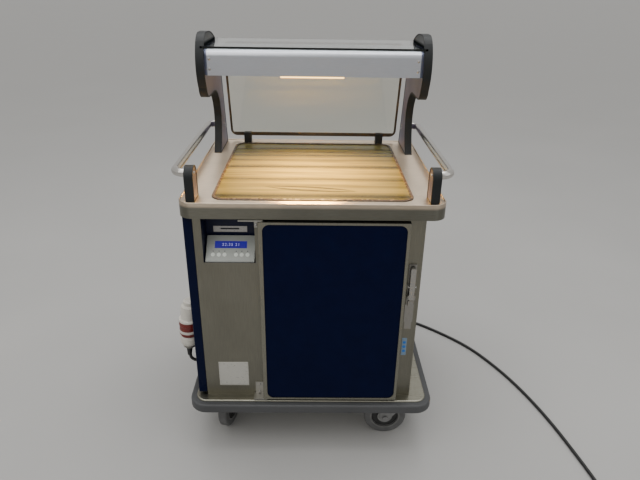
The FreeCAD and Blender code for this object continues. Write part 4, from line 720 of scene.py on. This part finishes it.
class TROLLEY_OT_controls(bpy.types.Operator):
    """Finish the control panel, with its lamps, numbers and card slot"""
    bl_idname = "trolley.controls"
    bl_label = "Control panel"

    def execute(self, context):
        looks = context.scene.trolley_finishes
        sizes = context.scene.trolley_sizes
        paint(finish("fascia_grey", looks.fascia, roughness=0.42, scale=400.0, contrast=0.05,
                     wear=0.06, bump=0.06), "control_fascia")
        paint(finish("key_grey", shade(looks.fascia, 1.9), roughness=0.5, scale=400.0,
                     contrast=0.05), *["button_%d" % n for n in range(1, 7)])
        screen, tree, shader, place = start_material("display_lit")
        cells = streaks(tree, place, 900.0, (1, 1, 1), 1.0)
        lit = blended(tree, ranged(tree, cells, 0, 1), looks.screen,
                      shade(looks.screen, 1.25))
        shader.inputs["Base Color"].default_value = (0.004, 0.004, 0.03, 1.0)
        tree.links.new(lit, shader.inputs["Emission Color"])
        shader.inputs["Emission Strength"].default_value = 1.0
        shader.inputs["Roughness"].default_value = 0.3
        shader.inputs["Specular IOR Level"].default_value = 0.2
        paint(screen, "display")
        self.digits(looks, sizes)
        self.marks(sizes)
        self.card_slot()
        return {"FINISHED"}

    def digits(self, looks, sizes):
        bpy.ops.object.text_add(location=on_slope(0, 53, -0.35), rotation=(TILT, 0, 0))
        text = bpy.context.active_object
        text.data.body = sizes.reading
        text.data.size = sizes.digit_height
        text.data.align_x = "CENTER"
        text.data.align_y = "CENTER"
        text.data.extrude = 0.0001
        text.data.space_character = 1.25
        bpy.ops.object.convert(target="MESH")
        glow, tree, shader, place = start_material("digit_white")
        faint = streaks(tree, place, 500.0, (1, 1, 1), 1.0)
        tone = blended(tree, ranged(tree, faint, 0, 1), (0.40, 0.43, 0.72), (0.50, 0.53, 0.80))
        tree.links.new(tone, shader.inputs["Base Color"])
        tree.links.new(tone, shader.inputs["Emission Color"])
        shader.inputs["Emission Strength"].default_value = 0.5
        settle(bpy.context.active_object, "display_numbers", glow, "trolley")

    def marks(self, sizes):
        """Small indicator lamps over the six keys."""
        lamp = finish("mark_dark", (0.06, 0.07, 0.09), roughness=0.3, scale=500.0)
        profile = [(0.0, -0.0002), (sizes.mark_radius, -0.0002),
                   (sizes.mark_radius, 0.0002), (sizes.mark_radius * 0.7, 0.0005),
                   (0.0, 0.0006)]
        away = (0, -math.sin(TILT), math.cos(TILT))
        for number, x in enumerate(KEY_XS, start=1):
            piece = turned(profile, on_slope(x, 31, 0.0), away, 16)
            settle(piece, "key_lamp_%d" % number, lamp, "trolley")

    def card_slot(self):
        """Pale strip on the back wall over the panel, with a dark plate on it as painted shadow
        for the card slot's mouth.
        """
        strip = plate(at(-256, 103.2, 797.5), (0.105, 0.0016, 0.020), 0.0006)
        settle(strip, "slot_strip", finish("strip_pale", (0.42, 0.41, 0.40), metallic=0.6,
                                           roughness=0.35, scale=200.0), "trolley")
        # A dark plate stands in for the slot's opening: painted shadow.
        mouth = plate(at(-257, 102.2, 799), (0.058, 0.0012, 0.005), 0.0005)
        settle(mouth, "slot_mouth_shadow", finish("slot_shadow_dark", (0.02, 0.02, 0.022), roughness=0.6,
                                           scale=200.0), "trolley")


# ---------------------------------------------------------------- door and latch
class TROLLEY_OT_door(bpy.types.Operator):
    """Finish the door, its seal, hinges and latch"""
    bl_idname = "trolley.door"
    bl_label = "Door"

    def execute(self, context):
        looks = context.scene.trolley_finishes
        # A lighter copy of the cupboard steel, so it carries that steel's painted shade.
        frame_steel = finish("door_steel", shade(looks.steel, 1.15), metallic=1.0,
                             roughness=0.32, scale=26.0, stretch=(16.0, 16.0, 0.8),
                             contrast=0.08, wear=0.10, bump=0.03)
        paint(frame_steel, "door_shell", "door_keeper")
        paint(finish("door_enamel", looks.navy, roughness=0.34, scale=20.0, contrast=0.10,
                     wear=0.08, spread=0.03, bump=0, specular=0.06), "door_inset")
        paint(finish("door_back_steel", (0.70, 0.69, 0.67), metallic=1.0, roughness=0.40,
                     scale=20.0, stretch=(8.0, 8.0, 0.8), contrast=0.04, spread=0.04, bump=0),
              "door_back")
        paint(finish("seal_rubber", (0.05, 0.05, 0.05), roughness=0.6, scale=300.0),
              "door_gasket")
        paint(finish("hinge_steel", (0.40, 0.39, 0.36), metallic=1.0, roughness=0.38,
                     scale=120.0, contrast=0.06, bump=0), "hinge_arms")
        paint(finish("latch_bright", (0.38, 0.37, 0.35), metallic=1.0, roughness=0.32,
                     scale=120.0, contrast=0.06, bump=0), "latch_lever")
        paint(finish("latch_satin", (0.31, 0.30, 0.28), metallic=1.0, roughness=0.38,
                     scale=60.0, stretch=(10.0, 10.0, 1.0), bump=0.02), "latch_base")
        strip = plate(at(304, 29.6, 411), (0.016, 0.0012, 0.068), 0.0005)
        settle(strip, "dot_strip", finish("strip_blue_grey", (0.20, 0.30, 0.42),
                                          roughness=0.4, scale=220.0), "trolley")
        blue = finish("dot_blue", (0.01, 0.17, 0.62), roughness=0.35, scale=300.0)
        for number, z in enumerate((394, 411, 428), start=1):
            dot = turned([(0.0, 0.0), (0.0052, 0.0), (0.0052, 0.0004), (0.0, 0.0005)],
                         at(304, 29.0, z), (0, -1, 0), 24)
            settle(dot, "blue_dot_%d" % number, blue, "trolley")
        return {"FINISHED"}


# ---------------------------------------------------------------- deck and casters
# Middle of each wheel, as X and depth, and the way that it rolls, in degrees.
WHEELS = (
    ("front_left", -301.1, 128.7, 76),
    ("front_right", 267, 85, 180),
    ("rear_left", -312, 587, 270),
    ("rear_right", 312, 587, 270),
)
WHEEL_HEIGHT = 75


class TROLLEY_OT_base(bpy.types.Operator):
    """Finish the deck, bumper, chassis and casters"""
    bl_idname = "trolley.base"
    bl_label = "Base"

    def execute(self, context):
        looks = context.scene.trolley_finishes
        # The deck's steel is the cupboard steel made lighter: painted light on the deck's top
        # faces.
        paint(finish("deck_steel_lit", shade(looks.steel, 1.62), metallic=1.0, roughness=0.36,
                     scale=30.0, stretch=(1.0, 14.0, 14.0), contrast=0.10, wear=0.2), "deck_tray")
        paint(finish("bumper_rubber", looks.bumper, roughness=0.55, scale=240.0,
                     contrast=0.15, wear=0.25, bump=0.12), "bumper")
        zinc = finish("zinc_plate", (0.30, 0.30, 0.30), metallic=0.9, roughness=0.4,
                      scale=90.0, contrast=0.12)
        paint(zinc, "chassis", "caster_plates", *[wheel[0] + "_fork" for wheel in WHEELS])
        paint(finish("pedal_black", looks.rubber, roughness=0.5, scale=300.0),
              "rear_left_pedal", "rear_right_pedal")
        for name, x, depth, heading in WHEELS:
            middle = at(x, depth, WHEEL_HEIGHT)
            paint(self.wheel(name, middle, math.radians(heading)), name + "_wheel")
        return {"FINISHED"}

    def wheel(self, name, centre, heading):
        """Grey tyre and a paler hub in a dark dish, told apart by how far the axle is."""
        material, tree, shader, place = start_material(name + "_tyre")
        across, depth, height = axes(tree, place)
        ahead = calc(tree, "ADD",
                     calc(tree, "MULTIPLY", calc(tree, "SUBTRACT", across, centre.x),
                          math.cos(heading)),
                     calc(tree, "MULTIPLY", calc(tree, "SUBTRACT", depth, centre.y),
                          math.sin(heading)))
        rise = calc(tree, "SUBTRACT", height, centre.z)
        radius = calc(tree, "SQRT", calc(tree, "ADD", calc(tree, "MULTIPLY", ahead, ahead),
                                         calc(tree, "MULTIPLY", rise, rise)))
        dust = streaks(tree, place, 30.0, (1, 1, 1), 6.0)
        dusty = ranged(tree, dust, 0, 1)
        tone = blended(tree, dusty, (0.17, 0.17, 0.165), (0.27, 0.27, 0.26))
        for start, dark, pale in ((0.0265, (0.02, 0.02, 0.02), (0.04, 0.04, 0.04)),
                                  (0.0478, (0.11, 0.11, 0.108), (0.17, 0.17, 0.165)),
                                  (0.0540, (0.075, 0.076, 0.077), (0.125, 0.125, 0.125))):
            band = blended(tree, dusty, dark, pale)
            tone = blended(tree, ranged(tree, radius, 0, 1, start - 0.0002, start + 0.0002),
                           tone, band)
        tree.links.new(tone, shader.inputs["Base Color"])
        tree.links.new(ranged(tree, dust, 0.45, 0.7), shader.inputs["Roughness"])
        bumped(tree, shader, dust, 0.1)
        return material


# ---------------------------------------------------------------- mains fittings
# Where each colour starts along a fitting's axis, in metres.
INLET_BANDS = ((0.0, "red"), (0.3545, "white"), (0.3655, "red"), (0.400, "white"))
CONNECTOR_BANDS = ((0.0, "grey"), (0.299, "white"), (0.3385, "red"))


class TROLLEY_OT_mains(bpy.types.Operator):
    """Finish the mains inlet, the connector and the plug in white and red"""
    bl_idname = "trolley.mains"
    bl_label = "Mains fittings"

    def execute(self, context):
        looks = context.scene.trolley_finishes
        paint(self.banded("inlet_bands", looks, "Z", INLET_BANDS), "mains_inlet")
        paint(self.banded("connector_bands", looks, "Z", CONNECTOR_BANDS), "connector")
        edge = at(PLUG_PLACE[0] - 68, 0, 0).x
        paint(self.banded("plug_bands", looks, "X", ((-2.0, "red"), (edge, "white"))), "plug")
        return {"FINISHED"}

    def banded(self, name, looks, axis, bands):
        """Plastic whose colour changes at each start given along an axis."""
        material, tree, shader, place = start_material(name)
        colours = {"white": looks.plug_white, "red": looks.plug_red,
                   "grey": shade(looks.plug_white, 0.3)}
        along = axes(tree, place)["XYZ".index(axis)]
        grime = streaks(tree, place, 25.0, (1, 1, 1), 6.0)
        result = None
        for start, kind in bands:
            tone = blended(tree, ranged(tree, grime, 0, 1, 0.35, 0.8), colours[kind],
                           shade(colours[kind], 0.72))
            if result is None:
                result = tone
            else:
                past = ranged(tree, along, 0, 1, start, start + 0.0004)
                result = blended(tree, past, result, tone)
        tree.links.new(result, shader.inputs["Base Color"])
        tree.links.new(ranged(tree, grime, 0.25, 0.5), shader.inputs["Roughness"])
        bumped(tree, shader, grime, 0.04)
        return material


class TROLLEY_PT_panel(bpy.types.Panel):
    """Sidebar panel that lists the trolley's pieces"""
    bl_idname = "TROLLEY_PT_panel"
    bl_label = "Hostess trolley"
    bl_space_type = "VIEW_3D"
    bl_region_type = "UI"
    bl_category = "Trolley"

    def draw(self, context):
        for operator in OPERATORS:
            self.layout.operator(operator.bl_idname)
        for group in (context.scene.trolley_finishes, context.scene.trolley_sizes):
            for name in group.__annotations__:
                self.layout.prop(group, name)


OPERATORS = (TROLLEY_OT_stage, TROLLEY_OT_lead, TROLLEY_OT_worktop, TROLLEY_OT_guard,
             TROLLEY_OT_bridge, TROLLEY_OT_cupboard, TROLLEY_OT_controls, TROLLEY_OT_door,
             TROLLEY_OT_base, TROLLEY_OT_mains)
CLASSES = (TrolleyFinishes, TrolleySizes, *OPERATORS, TROLLEY_PT_panel)


def register():
    for item in CLASSES:
        bpy.utils.register_class(item)
    bpy.types.Scene.trolley_finishes = PointerProperty(type=TrolleyFinishes)
    bpy.types.Scene.trolley_sizes = PointerProperty(type=TrolleySizes)


def unregister():
    del bpy.types.Scene.trolley_sizes
    del bpy.types.Scene.trolley_finishes
    for item in reversed(CLASSES):
        bpy.utils.unregister_class(item)


def main():
    register()
    bpy.ops.trolley.stage()
    bpy.ops.trolley.lead()
    bpy.ops.trolley.worktop()
    bpy.ops.trolley.guard()
    bpy.ops.trolley.bridge()
    bpy.ops.trolley.cupboard()
    bpy.ops.trolley.controls()
    bpy.ops.trolley.door()
    bpy.ops.trolley.base()
    bpy.ops.trolley.mains()


if __name__ == "__main__":
    main()
